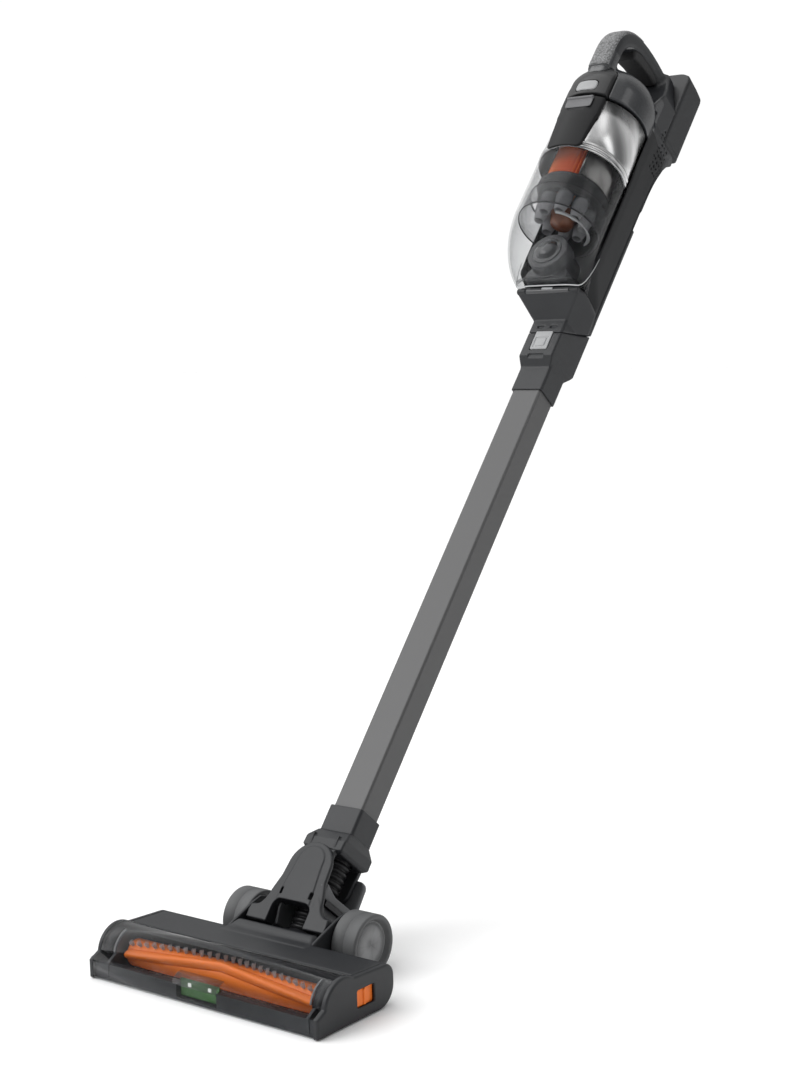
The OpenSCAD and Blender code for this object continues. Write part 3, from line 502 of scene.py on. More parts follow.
# ---------------------------------------------------------------- shapes from rings of points
def band_faces(rows, n, base=0, wrap=False):
    """Quads between rows of n points, and from the last row to the first if they wrap."""
    pairs = [(base + i * n, base + (i + 1) % rows * n) for i in range(rows if wrap else rows - 1)]
    return [(a + k, a + (k + 1) % n, b + (k + 1) % n, b + k) for a, b in pairs for k in range(n)]


def loft(name, rings, material, matrix=STICK, caps=(True, True)):
    """Skin over rings of equal point counts."""
    n = len(rings[0])
    verts = [p for ring in rings for p in ring]
    faces = band_faces(len(rings), n)
    if caps[0]:
        faces.append(tuple(range(n))[::-1])
    if caps[1]:
        faces.append(tuple((len(rings) - 1) * n + k for k in range(n)))
    return solid(name, verts, faces, material, matrix)


def weld(obj):
    bm = bmesh.new()
    bm.from_mesh(obj.data)
    bmesh.ops.remove_doubles(bm, verts=bm.verts, dist=1e-6)
    bmesh.ops.recalc_face_normals(bm, faces=bm.faces)
    bm.to_mesh(obj.data)
    bm.free()
    return obj


def lathe_mesh(name, profile, centre, material, matrix=STICK, n=96, closed=True):
    """A profile of radius and height turned about a line along Z. A closed profile makes a ring."""
    rings = [[(x, y, z) for x, y in circle(*centre, r, n)] for r, z in profile]
    if closed:
        return weld(loft(name, rings + rings[:1], material, matrix, (False, False)))
    return loft(name, rings, material, matrix)


def extrude_x(name, points, x0, x1, material):
    return weld(loft(name, [[(x, y, z) for y, z in points] for x in (x0, x1)], material, HEAD))


def block(name, low, high, material, matrix, width, segments=2):
    """A small box with bevelled edges."""
    verts = [(x, y, z) for x in (low[0], high[0]) for y in (low[1], high[1]) for z in (low[2], high[2])]
    faces = [(0, 1, 3, 2), (4, 6, 7, 5), (0, 4, 5, 1), (2, 3, 7, 6), (0, 2, 6, 4), (1, 5, 7, 3)]
    return finish_mesh(solid(name, verts, faces, material, matrix, False), width, segments)


# ---------------------------------------------------------------- hand unit
AXIS = (0.0, -67.0)  # of the bowl, the filter and the motor's dome
HINGE = (-43.5, 689.8)  # y and z of the pin that the bowl turns on
DUCT_Z = 720.5
# The wand meets the hand unit at a slanted seam, which rises towards the back.
SEAM_FRONT, SEAM_Z, SEAM_GAP = -22.5, 652.4, 0.2
SEAM_RUN, SEAM_RISE, SEAM_LENGTH = 46, 31, 55.5
VENT_START, VENT_PITCH, VENT_ROW, VENT_SIDE, VENT_TALL = (-23, 876), 5.6, 7.4, 3.4, 3.2


def seam(f, z0):
    """Distance above the seam, drawn through height z0 at its front."""
    return ((f.Z - z0) * SEAM_RUN - (f.Y - SEAM_FRONT) * SEAM_RISE) / SEAM_LENGTH


NOSE = [(-18.9, -23), (18.9, -23), (20.5, -21.4), (20.5, 22.6), (18.9, 24.3), (-18.9, 24.3), (-20.5, 22.6),
        (-20.5, -21.4)]


def handle_field(f):
    outer = ([(-117, 925), (-117, 955)] + bezier((-117, 960), (-117, 1000), (-88, 1014.6), (-30, 1014.6))
             + [(-8, 1014), (-8, 925)])
    hole = ([(-97, 925), (-97, 960)] + bezier((-97, 966), (-95, 987), (-66, 995.5), (-40, 995.5))
            + bezier((-32, 994.5), (-26, 992), (-25, 985), (-26, 970), 6) + [(-28, 925)])
    return rounded(cut(f.yz(outer), f.yz(hole)), f.slab(0, -13.8, 13.8), 8.4)


def vent_holes(f):
    """Rows of small triangles, turned up and down by turns."""
    holes = []
    for i in range(7):
        for j in range(9):
            y = VENT_START[0] + VENT_PITCH * i + (VENT_PITCH / 2 if j % 2 else 0)
            z = VENT_START[1] + VENT_ROW * j
            if not -26 + (z - 876) * 0.16 <= y <= 10 + (z - 876) * 0.12 or (z > 903 and y > 2):
                continue
            base, tip = (z, z + VENT_TALL) if (i + j) % 2 == 0 else (z + VENT_TALL, z)
            holes.append(f.yz([(y, base), (y + VENT_SIDE, base), (y + VENT_SIDE / 2, tip)]))
    return np.minimum.reduce(holes)


def paint_casing(body):
    """Glossier dome above the bowl, painted lighter as painted light, and sides to the spine painted darker as
    painted shade, both chosen by where a face lies.
    """
    body.data.materials.append(MATERIALS["dome"])
    body.data.materials.append(MATERIALS["flank"])
    count = len(body.data.polygons)
    middle = np.empty(3 * count)
    body.data.polygons.foreach_get("center", middle)
    back = np.array(STICK.inverted())
    x, y, z = (middle.reshape(count, 3) @ back[:3, :3].T + back[:3, 3]).T
    # faces on the dome get the lighter copy and faces on the flanks the darker one: painted light and painted
    # shade
    dome = (z > 892.7) & (z < 957) & (np.hypot(x, y - AXIS[1]) < 50.5) & (y < -22)
    flank = (z > 694) & (z < 905) & (np.abs(x) > 20.7) & (y > -46) & ~dome
    body.data.polygons.foreach_set("material_index", np.where(dome, 1, np.where(flank, 2, 0)).astype(int))


def make_casing():
    f = Field((0, -122, 648), (52, 34, 1019), 0.85)
    nose = f.bar(2, NOSE, 640, 700, 0.8)
    chin = smax(f.yz([(-21, 667), (-46.3, 689.5), (-46.3, 692.7), (22, 692.7), (22, 667)]),
                f.front([(20, 668), (39, 690), (39.5, 692.7)]), 1.5)
    chin = smax(chin, f.xy(mirrored([(0, -46.8), (26, -45.4), (37.5, -41.5), (41, -34), (36.5, -2.5),
                                     (20.8, 20)])), 1.0)
    chin = cut(chin, f.yz([(-43.5, 694), (-43.5, 692.6), (-44.35, 692.4), (-45.12, 692.0), (-50, 688.6),
                           (-50, 694)]))
    spine = smax(f.xy(mirrored([(46.5, -47), (45, -35), (36.5, -2.5), (20.8, 20)])),
                 f.front([(20, 670), (46.5, 718), (46.5, 921)]), 3)
    edge = ([(20, 660), (20, 905), (-56, 905)] + bezier((-64, 885), (-51, 876), (-45.5, 858), (-45, 832), 8)
            + bezier((-45, 735), (-43, 714), (-45, 702), (-46.5, 692), 5) + [(-20, 672)])
    spine = smax(spine, f.yz(edge), 1.2)
    cover = f.bar(2, box2(-20.5, 20.5, -3, 24.3, 1.6), 676, 826, 1.1)
    dome = f.lathe([(0, 892.6), (49, 892.6), (49, 914)] + arc(0, 914, 49, 0, 90, 16, 41.4), AXIS)
    dock = smax(f.yz([(-45, 850), (-45, 945), (-36, 966), (-27, 985), (-20, 1014.4), (-6.6, 1014.4),
                      (-6.6, 923.4),
                      (29.4, 923.4), (25.5, 919), (22.5, 910), (20.4, 888), (20, 850)]),
                f.front([(37, 850), (39, 890), (39.5, 915), (34.6, 929), (34.6, 966), (15, 1014.4)]), 2.5)
    flare = np.interp(f.z, (850, 868, 880, 890, 900, 912, 918, 922, 926),
                      (28.7, 28.8, 29.4, 30.4, 31.7, 33.8, 35.7, 39, 45.5))
    dock = smax(dock, 0.820 * f.X + 0.572 * f.Y - flare[None, None, :], 2.0)
    dock = cut(dock, f.lathe([(0, 840), (46, 840), (46, 940), (0, 940)], AXIS))
    knuckle = np.maximum(f.line(0, *HINGE) - 3.05, np.maximum(26.8 - f.X, f.X - 37))
    chin = np.minimum(chin, knuckle)
    d = nose
    for part, blend in ((chin, 1.2), (spine, 2.0), (dome, 3.0), (dock, 3.0), (cover, 0.8),
                        (handle_field(f), 6.0)):
        d = smin(d, part, blend)
    # room for the battery pack, the bowl and the wand
    whole = cut(d, np.maximum(f.yz(box2(-6.5, 40, 923.5, 1040)), f.slab(0, -40, 40)),
                f.lathe([(0, 692.9), (49, 692.9), (49, 892.4), (45, 892.4), (43, 897), (0, 897)], AXIS),
                seam(f, SEAM_Z + SEAM_GAP))
    # perforated sides
    skin = groove(whole, np.maximum(vent_holes(f), 22 - f.X), 2.0)
    # gap about the control panel, and a well under the power button, deep enough for its travel
    front = f.Y + 96
    panel = np.maximum(f.xz(panel_outline(0.7)), front)
    well = np.maximum(f.xz(box2(-13.6, 13.6, 896.3, 911.7, 5.4, 8)), front)
    d = cut(skin, np.maximum(panel, -(skin + 1.6)), np.maximum(well, -(skin + 4.2)))
    # two slots above the seam
    d = groove(d, np.maximum(f.xz(box2(4.2, 11.5, 659, 661.4)), f.Y + 15), 1.5)
    plate = np.maximum(np.maximum(np.abs(whole + 2.0) - 0.5, 22 - f.X),
                       f.yz([(-28, 872), (12, 872), (24, 942), (-16, 942)]))
    piece(f.mesh(plate, "vent_screen", "near_black_plastic"), "hand_unit", "side_vents")
    body = f.mesh(d, "casing", "charcoal_plastic")
    paint_casing(body)
    piece(body, "hand_unit", "body_left", "body_right", "rear_cover")
    # grip over the front of the handle, and the soft pad under its arch
    bar = handle_field(f)
    zone = f.yz([(-125, 936), (-125, 1020), (-72, 1020), (-78, 995), (-104, 968), (-106, 936)])
    grip = smax(smax(np.maximum(bar - 0.8, -(bar + 1.2)), zone, 1.0), f.slab(0, -12.2, 12.2), 1.0)
    piece(f.mesh(grip, "grip_overlay", "grip_grey"), "hand_unit", "handle_grip")
    pad = f.bar(0, [(-84, 986), (-80, 978.5), (-62, 984), (-42, 987), (-32, 987), (-28, 990), (-30, 997),
                    (-46, 998), (-70, 996), (-82, 990)], -12.6, 12.6, 3.6)
    piece(f.mesh(pad, "grip_pad", "rubber"), "hand_unit", "handle_pad")


def panel_outline(g=0.0):
    """Outline of the control panel, grown by g."""
    return mirrored([(25 + g, 893 - g), (25 + g, 917)] + arc(13, 918.5, 12 + g, 5, 90, 8, 16 + g))


def make_panel():
    f = Field((0, -124, 816), (28, -96, 940), 0.6)
    skin = f.lathe([(0, 800), (51.3, 800), (51.3, 912)] + arc(0, 912, 51.3, 0, 90, 16, 46), AXIS)
    top = smax(smax(skin, f.xz(panel_outline()), 1.6), f.Y + 104, 1)
    pill = f.xz(box2(-13.0, 13.0, 896.9, 911.1, 5.2, 8))
    top = smax(top, -np.maximum(pill, -(skin + 2.6)), 0.8)
    piece(f.mesh(top, "control_panel_face", "gloss_black"), "hand_unit", "control_panel")
    knob = smax(f.xz(box2(-12.4, 12.4, 897.5, 910.5, 4.7, 8)), np.maximum(skin - 0.7, -(skin + 3.2)), 1.4)
    piece(f.mesh(knob, "power_button_cap", "button_grey"), "power_button", "power_button")
    tongue = mirrored([(17, 821.5), (20.5, 825), (23.8, 862), (25, 866), (25, 889.8)])
    low = smax(f.lathe([(0, 800), (49.4, 800), (50.0, 822), (51.1, 866), (51.1, 889.8), (0, 889.8)], AXIS),
               f.xz(tongue), 1.4)
    low = cut(low, f.lathe([(0, 790), (48.15, 790), (48.15, 900), (0, 900)], AXIS),
              np.maximum(f.xz(box2(-16.6, 16.6, 869.8, 892, 3)), f.Y + 117.3))
    piece(f.mesh(low, "bowl_tongue", "tongue"), "bowl", "bowl_panel")
    lip = smax(f.xz(box2(-15.8, 15.8, 873.4, 888.6, 3)),
               f.yz([(-116.9, 873.4), (-118.0, 873.4), (-118.1, 880), (-118.2, 883.6), (-120.2, 884.6),
                     (-120.3, 886.4), (-118.6, 888), (-116.9, 888.6)]), 0.5)
    piece(f.mesh(lip, "bowl_latch_lip", "grey_plastic"), "bowl_latch", "bowl_latch")


def bowl_ring(z, inset=0.0, n=112):
    """The bowl's section at a height: a squarish oval that shrinks below z = 753."""
    t = min(1.0, max(0.0, (z - 693) / 57))
    rise = math.sqrt(max(0.0, 1 - (1 - t) ** 2))
    a = 38 + 10 * rise
    front = 45.5 + 69.5 * math.sqrt(max(0.0, 1 - ((753 - min(z, 753)) / 60) ** 2))
    back = 19.0
    power = 3.9 - 1.9 * rise ** 0.7
    a, b, yc = a - inset, (front - back) / 2 - inset, -(front + back) / 2
    ring = []
    for k in range(n):
        q = 2 * math.pi * k / n
        c, s = math.cos(q), math.sin(q)
        ring.append((a * math.copysign(abs(c) ** (2 / power), c),
                     yc + b * math.copysign(abs(s) ** (2 / power), s), z))
    return ring


def bead(name, route, thick, thin, n=8):
    """A round bead along a route, thickest in the middle of it."""
    rings = []
    for i, place in enumerate(route):
        ahead = Vector(route[min(i + 1, len(route) - 1)]) - Vector(route[max(i - 1, 0)])
        u = ahead.cross(Vector((0, 1, 0.3))).normalized()
        v = ahead.cross(u).normalized()
        r = thin + (thick - thin) * min(1.0, 2.2 * math.sin(math.pi * (i + 0.5) / len(route)) ** 1.5)
        rings.append([tuple(Vector(place) + u * a + v * b) for a, b in circle(0, 0, r, n)])
    return weld(loft(name, rings, "rim_highlight_grey"))


def make_bowl():
    heights = [693.2 + 57 * (1 - math.cos(math.pi / 2 * i / 26)) for i in range(27)]
    heights += [760 + 10 * i for i in range(7)] + [822]
    outer = [bowl_ring(z) for z in heights] + [bowl_ring(z, 1.3) for z in (822.05, 889.8)]
    inner = [bowl_ring(z, 2.4) for z in (889.8, 822)] + [bowl_ring(z, 2.0) for z in heights[::-1][1:-3]]
    inner.append(bowl_ring(695.2, 2.6))
    piece(weld(loft("dust_bowl_shell", outer + inner, "clear_plastic")), "bowl", "dust_bowl")
    # painted highlight: a light grey bead, thickest in the middle, along the lower front edge of the bowl, that
    # runs up both sides
    line = [(36.5, -47.2, 692.6), (39.6, -46.2, 694.6), (42.0, -45.6, 699), (44.2, -45.2, 706),
            (46.2, -45.2, 716), (47.5, -45.2, 728)]
    front = [(x, -49.6 + 2.0 * (abs(x) / 36) ** 4, 692.3) for x in range(-34, 35, 4)]
    route = [(-x, y, z) for x, y, z in line[::-1]] + front + line
    piece(bead("bowl_floor_rim", route, 0.75, 0.25), "bowl")
    tab = block("bowl_floor_tab", (-6.5, -47.6, 689.4), (6.5, -43.4, 691.6), "button_grey", STICK, 0.0004)
    piece(tab, "bowl")
    band = []
    for z in (822.4, 827.6):
        band += [(46.7, z - 0.2)] + arc(46.9, z + 2.2, 1.4, -80, 80, 8, 2.2)
    band += [(47.3, 832.6), (47.2, 889.4), (46.75, 889.6), (46.7, 822)]
    piece(lathe_mesh("bowl_bright_band", band, AXIS, "silver", n=128), "bowl", "bowl_band")


def bowl_lathe(name, profile, look, *nodes, **more):
    piece(lathe_mesh(name, profile, AXIS, look, **more), "bowl", *nodes)


def make_bowl_inside():
    folds, valley, ridge = 44, 28.8, 33.6
    star = [(r * math.cos(math.pi * k / folds), AXIS[1] + r * math.sin(math.pi * k / folds))
            for k, r in enumerate((valley, ridge) * folds)]
    pleats = loft("pleated_filter", [[(x, y, z) for x, y in star] for z in (798, 798.5, 879, 879.5)],
                  "filter_orange")
    for p in pleats.data.polygons:
        p.use_smooth = False
    piece(pleats, "bowl", "filter")
    # skirt under the filter: clear, with a dark rim
    bowl_lathe("cyclone_skirt", [(43.2, 751), (43.2, 776), (41, 780), (39.6, 780), (41.6, 775.4), (41.6, 751)],
               "skirt_clear", "bowl_skirt")
    for z, r in ((751.0, 43.4), (779.8, 41.4)):
        oval = [(r + 0.55 * c, z + 0.8 * s) for c, s in circle(0, 0, 1, 8)]
        bowl_lathe("skirt_edge_%d" % z, oval, "near_black_plastic")
    # cap, collar and cyclone cluster
    bowl_lathe("filter_caps", [(45.4, 880.2), (45.4, 887.6), (44.6, 888), (26, 888), (26, 880.2)],
               "near_black_plastic", "filter_frame")
    bowl_lathe("filter_collar", [(27, 797.5), (37.4, 797.5), (38.4, 796.4), (38.4, 792.5), (34.5, 788),
                                 (33.6, 780), (27, 780)], "near_black_plastic")
    bowl_lathe("filter_core", [(26.8, 779.9), (26.8, 880.1), (25, 880.1), (25, 779.9)], "near_black_plastic")
    # painted reflection and painted shade: a grey sheet with light streaks round the right side of the filter,
    # in place of the reflections and shade on the clear wall of the bowl there
    rings = [[(r * math.cos(math.radians(a)), AXIS[1] + r * math.sin(math.radians(a)), z) for r, z in
              ((35.4, 798), (35.4, 879.8), (34.2, 879.8), (34.2, 798))] for a in range(-56, 141, 4)]
    piece(weld(loft("filter_painted_reflection_sheet", rings, "painted_reflection_sheet")), "bowl")
    verts, faces = [], []
    cones, n = 8, 24
    profile = ((8.6, 779.6), (8.8, 772), (5.2, 757), (4.6, 757), (8.0, 772), (8.0, 779.6))
    for k in range(cones):
        q = 2 * math.pi * (k + 0.5) / cones
        faces += band_faces(len(profile), n, len(verts), True)
        verts += [(x, y, z) for r, z in profile
                  for x, y in circle(23.5 * math.cos(q), AXIS[1] + 23.5 * math.sin(q), r, n)]
    piece(weld(solid("cyclone_cones", verts, faces, "grey_plastic", STICK)), "bowl")
    bowl_lathe("cyclone_hub", [(0.01, 779.8), (15, 779.8), (15.5, 772), (11, 757), (0.01, 755)], "amber",
               closed=False)
    bowl_lathe("cyclone_ring", [(33.5, 786.5), (33.5, 783), (32, 782.2), (29, 786.5)], "amber")
    # painted highlight: a light grey crescent, widest in the middle, on the lip of the funnel that keeps the
    # dust down
    rings, n = [], 40
    for i in range(n + 1):
        q = math.radians(-68 + 118 * i / n)
        w = 6.5 * math.sin(math.pi * i / n) + 0.15
        rings.append([(r * math.cos(q), AXIS[1] + r * math.sin(q), z) for r, z in
                      ((31.0, 752), (31.0 + w, 749 - w * 0.5), (30.2 + w, 748.0 - w * 0.5), (30.2, 751))])
    piece(weld(loft("funnel_lip_highlight", rings, "button_grey")), "bowl")
    # inlet duct, from the floor of the bowl to the round mouth
    f = Field((0, -74, 686), (30, -20, 750), 0.7)
    mouth = f.line(1, 0, DUCT_Z)
    tube = smin(rounded(mouth - 22.4, f.slab(1, -70.0, -52), 1.6),
                rounded(mouth - 18.5, f.slab(1, -56, -30), 1.0), 1.5)
    base = f.bar(1, mirrored([(25.5, 695.3), (24, 704), (16, 715)]), -58, -22.5, 2.0)
    d = smin(tube, base, 3.0)
    d = smax(d, -rounded(mouth - 15.4, f.slab(1, -90, -42), 0.5), 0.6)
    under = f.yz([(-80, 680), (-80, 702), (-60, 696.5), (-50, 695.2), (-20, 695.2), (-20, 680)])
    d = cut(d, np.maximum(under, f.slab(0, -60, 60)))
    pin = f.line(0, *HINGE)
    d = np.minimum(d, cut(np.maximum(pin - 3.0, f.slab(0, -26, 26)), pin - 1.55))
    piece(f.mesh(d, "inlet_duct_body", "duct_grey"), "bowl", "inlet_duct")
    profile = ((0.01, -76.4), (3, -76.2), (6, -75.4), (9, -73.8), (11.2, -71.8), (12.2, -70.9), (13.2, -70.75),
               (15.2, -70.75), (15.9, -70.5), (15.9, -70.45), (15.4, -70.4), (0.01, -70.4))
    flap = [[(x, y, z) for x, z in circle(0, DUCT_Z, r, 64)] for r, y in profile]
    piece(weld(loft("inlet_flap_disc", flap, "ball")), "inlet_flap", "inlet_flap")


def make_battery():
    f = Field((0, -10, 920), (38, 35, 1035), 0.7)
    d = smax(f.yz([(-6, 928), (-2, 924), (26, 924), (30, 929), (30, 1014), (26, 1020.5), (16, 1027.8),
                   (4, 1031), (-3, 1031), (-6, 1028)]),
             f.front([(31, 924), (34, 928), (34, 1018), (30, 1025), (18, 1031)]), 2.2)
    d = smax(d, f.xy(box2(-34, 34, -6.5, 30, 4.6)), 1.2)
    jack = f.line(1, 0, 938)
    d = cut(d, np.maximum(jack - 2.75, 21 - f.Y))
    d = smin(d, rounded(np.abs(jack - 4.3) - 1.1, f.slab(1, 28, 30.5), 0.4), 0.4)
    d = cut(d, np.maximum(f.xz(box2(-9.6, 9.6, 992.4, 1005.6, 2)), 23.4 - f.Y))
    for z in (952, 958, 964, 970):
        d = smax(d, -f.bar(1, box2(-16, 16, z, z + 2, 1), 29, 33, 0.2), 0.4)
    d = groove(d, np.abs(f.Z - 933.5) - 0.45, 0.8)
    piece(f.mesh(d, "battery_shell", "dark_plastic"), "battery", "battery_case")


def make_wand_top():
    f = Field((0, -26, 584), (23, 27, 688), 0.6)
    collar = f.bar(2, box2(-18.5, 18.5, -15.2, 15.2, 2.6), 586, 622, 0.8)
    upper = smax(f.xy(NOSE), f.yz([(-14, 612), (-23, 624.5), (-23, 652), (24.3, 683), (24.3, 630),
                                   (14, 615)]), 1.0)
    upper = smax(upper, f.front([(17.4, 612), (20.5, 624), (20.5, 690)]), 1.2)
    d = smin(collar, upper, 1.0)
    d = np.maximum(d, seam(f, SEAM_Z - SEAM_GAP))
    # bore for the spigot above, for the tube below, and the air's way between them
    for a, b, r, low, high in ((15.2, 16.2, 3, 642, 720), (16.8, 14.0, 2.7, 570, 622),
                               (13, 10.2, 3, 600, 660)):
        d = cut(d, f.bar(2, box2(-a, a, -b, b, r), low, high, 0.3))
    well = f.bar(1, box2(-10.7, 10.7, 630.6, 654.6, 1.2), -40, -17.6, 0.3)
    d = smax(d, -well, 0.5)
    low = f.bar(1, box2(-9, 9, 620.5, 625.5, 1), -40, -21, 0.5)
    d = smax(d, -low, 1.0)
    piece(f.mesh(d, "wand_socket", "charcoal_plastic"), "wand", "wand_connector")
    outer = [(x * 0.94, y * 0.94) for x, y in NOSE]
    inner = [(-15.6, -16.6), (15.6, -16.6), (16.4, -15.8), (16.4, 15.8), (15.6, 16.6), (-15.6, 16.6),
             (-16.4, 15.8), (-16.4, -15.8)]
    t = 0.22  # half the seal's thickness
    rings = [[(x, y, SEAM_Z + lift + (y - SEAM_FRONT) * SEAM_RISE / SEAM_RUN) for x, y in ring]
             for ring, lift in ((outer, -t), (outer, t), (inner, t), (inner, -t), (outer, -t))]
    piece(weld(loft("wand_seal", rings, "rubber", caps=(False, False))), "wand")
    g = Field((0, -26, 628), (12, -16, 657), 0.4)
    b = smax(g.xz(box2(-10.1, 10.1, 631.2, 654.0, 1.4)),
             g.yz([(-19.5, 631), (-22.6, 631), (-23.2, 632), (-23.4, 643), (-23.4, 654.2), (-19.5, 654.2)]), 0.6)
    frame_cut = g.bar(1, box2(-7.6, 7.6, 633.4, 646.6, 0.8), -40, -22.7, 0.2)
    b = smax(b, -frame_cut, 0.4)
    raised = g.bar(1, box2(-5.4, 5.4, 635.6, 645, 0.8), -23.5, -20, 0.3)
    b = smin(b, raised, 0.3)
    piece(g.mesh(b, "wand_button_cap", "button_grey"), "wand_button", "wand_button")


# ---------------------------------------------------------------- yoke, neck and hoses
SWIVEL_Z = 47  # height of the pins that the neck swings on


def plate_outline():
    return mirrored([(45, -9), (45, -2)] + bezier((45, 6), (36, 4), (32.4, 9), (31, 15), 10)
                    + [(29, 23), (25, 35)] + arc(0, SWIVEL_Z, 24, 0, 90, 14))


def make_yoke():
    f = Field((0, -36, -13), (48, 30, 74), 0.6)
    arch = mirrored([(21.2, -30), (21.2, 5.5)] + arc(13.7, 5.5, 7.5, 0, 90, 6))
    bow = f.Y + 33.0 - 0.0022 * f.X ** 2 - 0.0007 * (f.Z - 20) ** 2 * (f.Z > 20)
    plate = rounded(f.xz(plate_outline()), np.maximum(-bow, f.Y + 27.2), 1.4)
    raised = rounded(f.front([(19, 10), (17, 30), (14.5, 50)] + arc(0, 52, 14.5, 0, 90, 10)),
                     np.maximum(-bow - 0.7, f.Y + 28), 0.8)
    plate = smin(plate, raised, 1.0)
    tunnel = f.bar(1, mirrored([(24.4, -9), (24.4, 8)] + arc(15, 8, 9.4, 0, 90, 6)), -31.5, -19, 0.8)
    skirt = f.bar(1, mirrored([(45, -9), (45, -1)] + bezier((44, 4), (37, 3), (32, 8), (30, 15), 8)
                              + [(24, 22), (24, -9)]), -31.5, -24, 1.2)
    arm = f.bar(0, [(-28, -9), (-28, 3), (-20, 6)] + arc(0, 0, 10, 110, -110, 16) + [(-12, -9)], 37.6, 44.9,
                1.4)
    boss = rounded(f.line(0) - 7.5, f.slab(0, 37, 46), 0.6)
    d = smin(smin(plate, tunnel, 1.2), skirt, 1.2)
    d = smin(smin(d, arm, 3.0), boss, 0.8)
    d = smax(d, -np.maximum(f.xz(arch), f.slab(1, -60, 0)), 1.0)
    slots = f.bar(1, [(15.4, 17.5), (18.4, 17.5), (18.4, 23.6), (15.4, 23.6)], -50, -10, 0.9)
    d = cut(smax(d, -slots, 0.5), f.line(0) - 3.06)
    piece(f.mesh(d, "yoke_plate", "charcoal_plastic"), "yoke", "yoke_front")
    guard = f.bar(1, mirrored([(25, 24), (24.6, 40)] + arc(16, 53, 8, -5, 90, 8)), 22.4, 28, 1.8)
    wall = f.bar(0, [(-27, 24), (25, 24), (25, 31), (10, 31), (-10, 31), (-27, 37)], 21.6, 25, 1.0)
    g = smin(guard, wall, 2.0)
    cheek = f.bar(0, [(-25, 7), (-20, -6), (18, -6), (22, 4), (22, 26), (-26, 26)], 17.2, 19.6, 0.5)
    back = f.bar(1, mirrored([(18, 8.5), (18, 26)]), 19.6, 22, 0.5)
    g = smin(smin(g, cheek, 0.6), back, 0.6)
    for z in (34, 40, 46, 52):
        g = smax(g, -f.bar(1, box2(-15, 15, z, z + 1.6, 0.8), 27.2, 32, 0.2), 0.5)
    # the guard's lighter grey is painted light that lifts the shadow it sits in
    piece(f.mesh(g, "yoke_guard", "guard_painted_light_grey"), "yoke", "yoke_rear")


def make_neck():
    f = Field((0, -28, 31), (25, 24, 116), 0.6)
    collar = f.bar(2, box2(-19, 19, -16.5, 16.5, 3.0), 80, 114, 0.9)
    shoulder = smax(f.front([(20, 66), (22.6, 70), (22.6, 80), (18.5, 89)]),
                    f.yz([(-22, 66), (-26, 69), (-25.4, 78), (-17, 90), (15, 90), (21.6, 80), (21.6, 70),
                          (17, 66)]), 2.0)
    d = smin(collar, shoulder, 1.5)
    for reach in ((-26, -21), (17, 21.6)):
        ear = rounded(f.front(arc(0, SWIVEL_Z, 15, -90, 0, 10) + [(16, 68)]), f.slab(1, *reach), 1.0)
        d = smin(d, ear, 1.2)
    ridge = f.bar(1, [(13.2, 71), (14.6, 71), (14.6, 84), (13.2, 86)], -26.4, -20, 0.4)
    d = smin(d, np.maximum(ridge, f.Z - 82), 0.5)
    d = groove(d, np.abs(f.Z - 88.6) - 0.4, 0.6)
    r = f.line(2)
    d = cut(d, f.bar(2, box2(-16.95, 16.95, -14.15, 14.15, 2.7), 88, 130, 0.2),
            np.maximum(r - 15.4, f.Z - 73), np.maximum(r - 12.2, f.Z - 100), f.line(1, 0, SWIVEL_Z) - 4.05)
    piece(f.mesh(d, "neck_body", "charcoal_plastic"), "neck", "neck_socket")


def make_hose(name, node, z0, z1, ribs):
    """A ribbed hose between two bodies, made straight and baked in place."""
    profile, steps = [], ribs * 12
    for i in range(steps + 1):
        z = z0 + (z1 - z0) * i / steps
        wave = 0.5 + 0.5 * math.cos(2 * math.pi * ribs * (z - z0) / (z1 - z0))
        profile.append((12.9 + 2.0 * (1 - wave) ** 0.6, z))
    profile += [(r - 1.0, z) for r, z in profile[::-1]]
    hose = lathe_mesh(name, profile, (0, 0), "near_black_plastic", n=56)
    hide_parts(node)
    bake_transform(hose)


# ---------------------------------------------------------------- floor head
BRUSH = (-45, 18)  # y and z of the brush's axis


def head_outline(i=0.0):
    """The head's side view, moved inwards by i."""
    return ([(-79 + i, 1 + i), (-79 + i, 17 - 0.6 * i)] + arc(*BRUSH, 24.3 - i, 170, 58, 28) + [(8, 36.7 - i)]
            + arc(8, 25.7, 11 - i, 80, 0, 8) + arc(0.5, 19.3, 18.5 - i, 0, -80, 12) + [(3, 1 + i)])


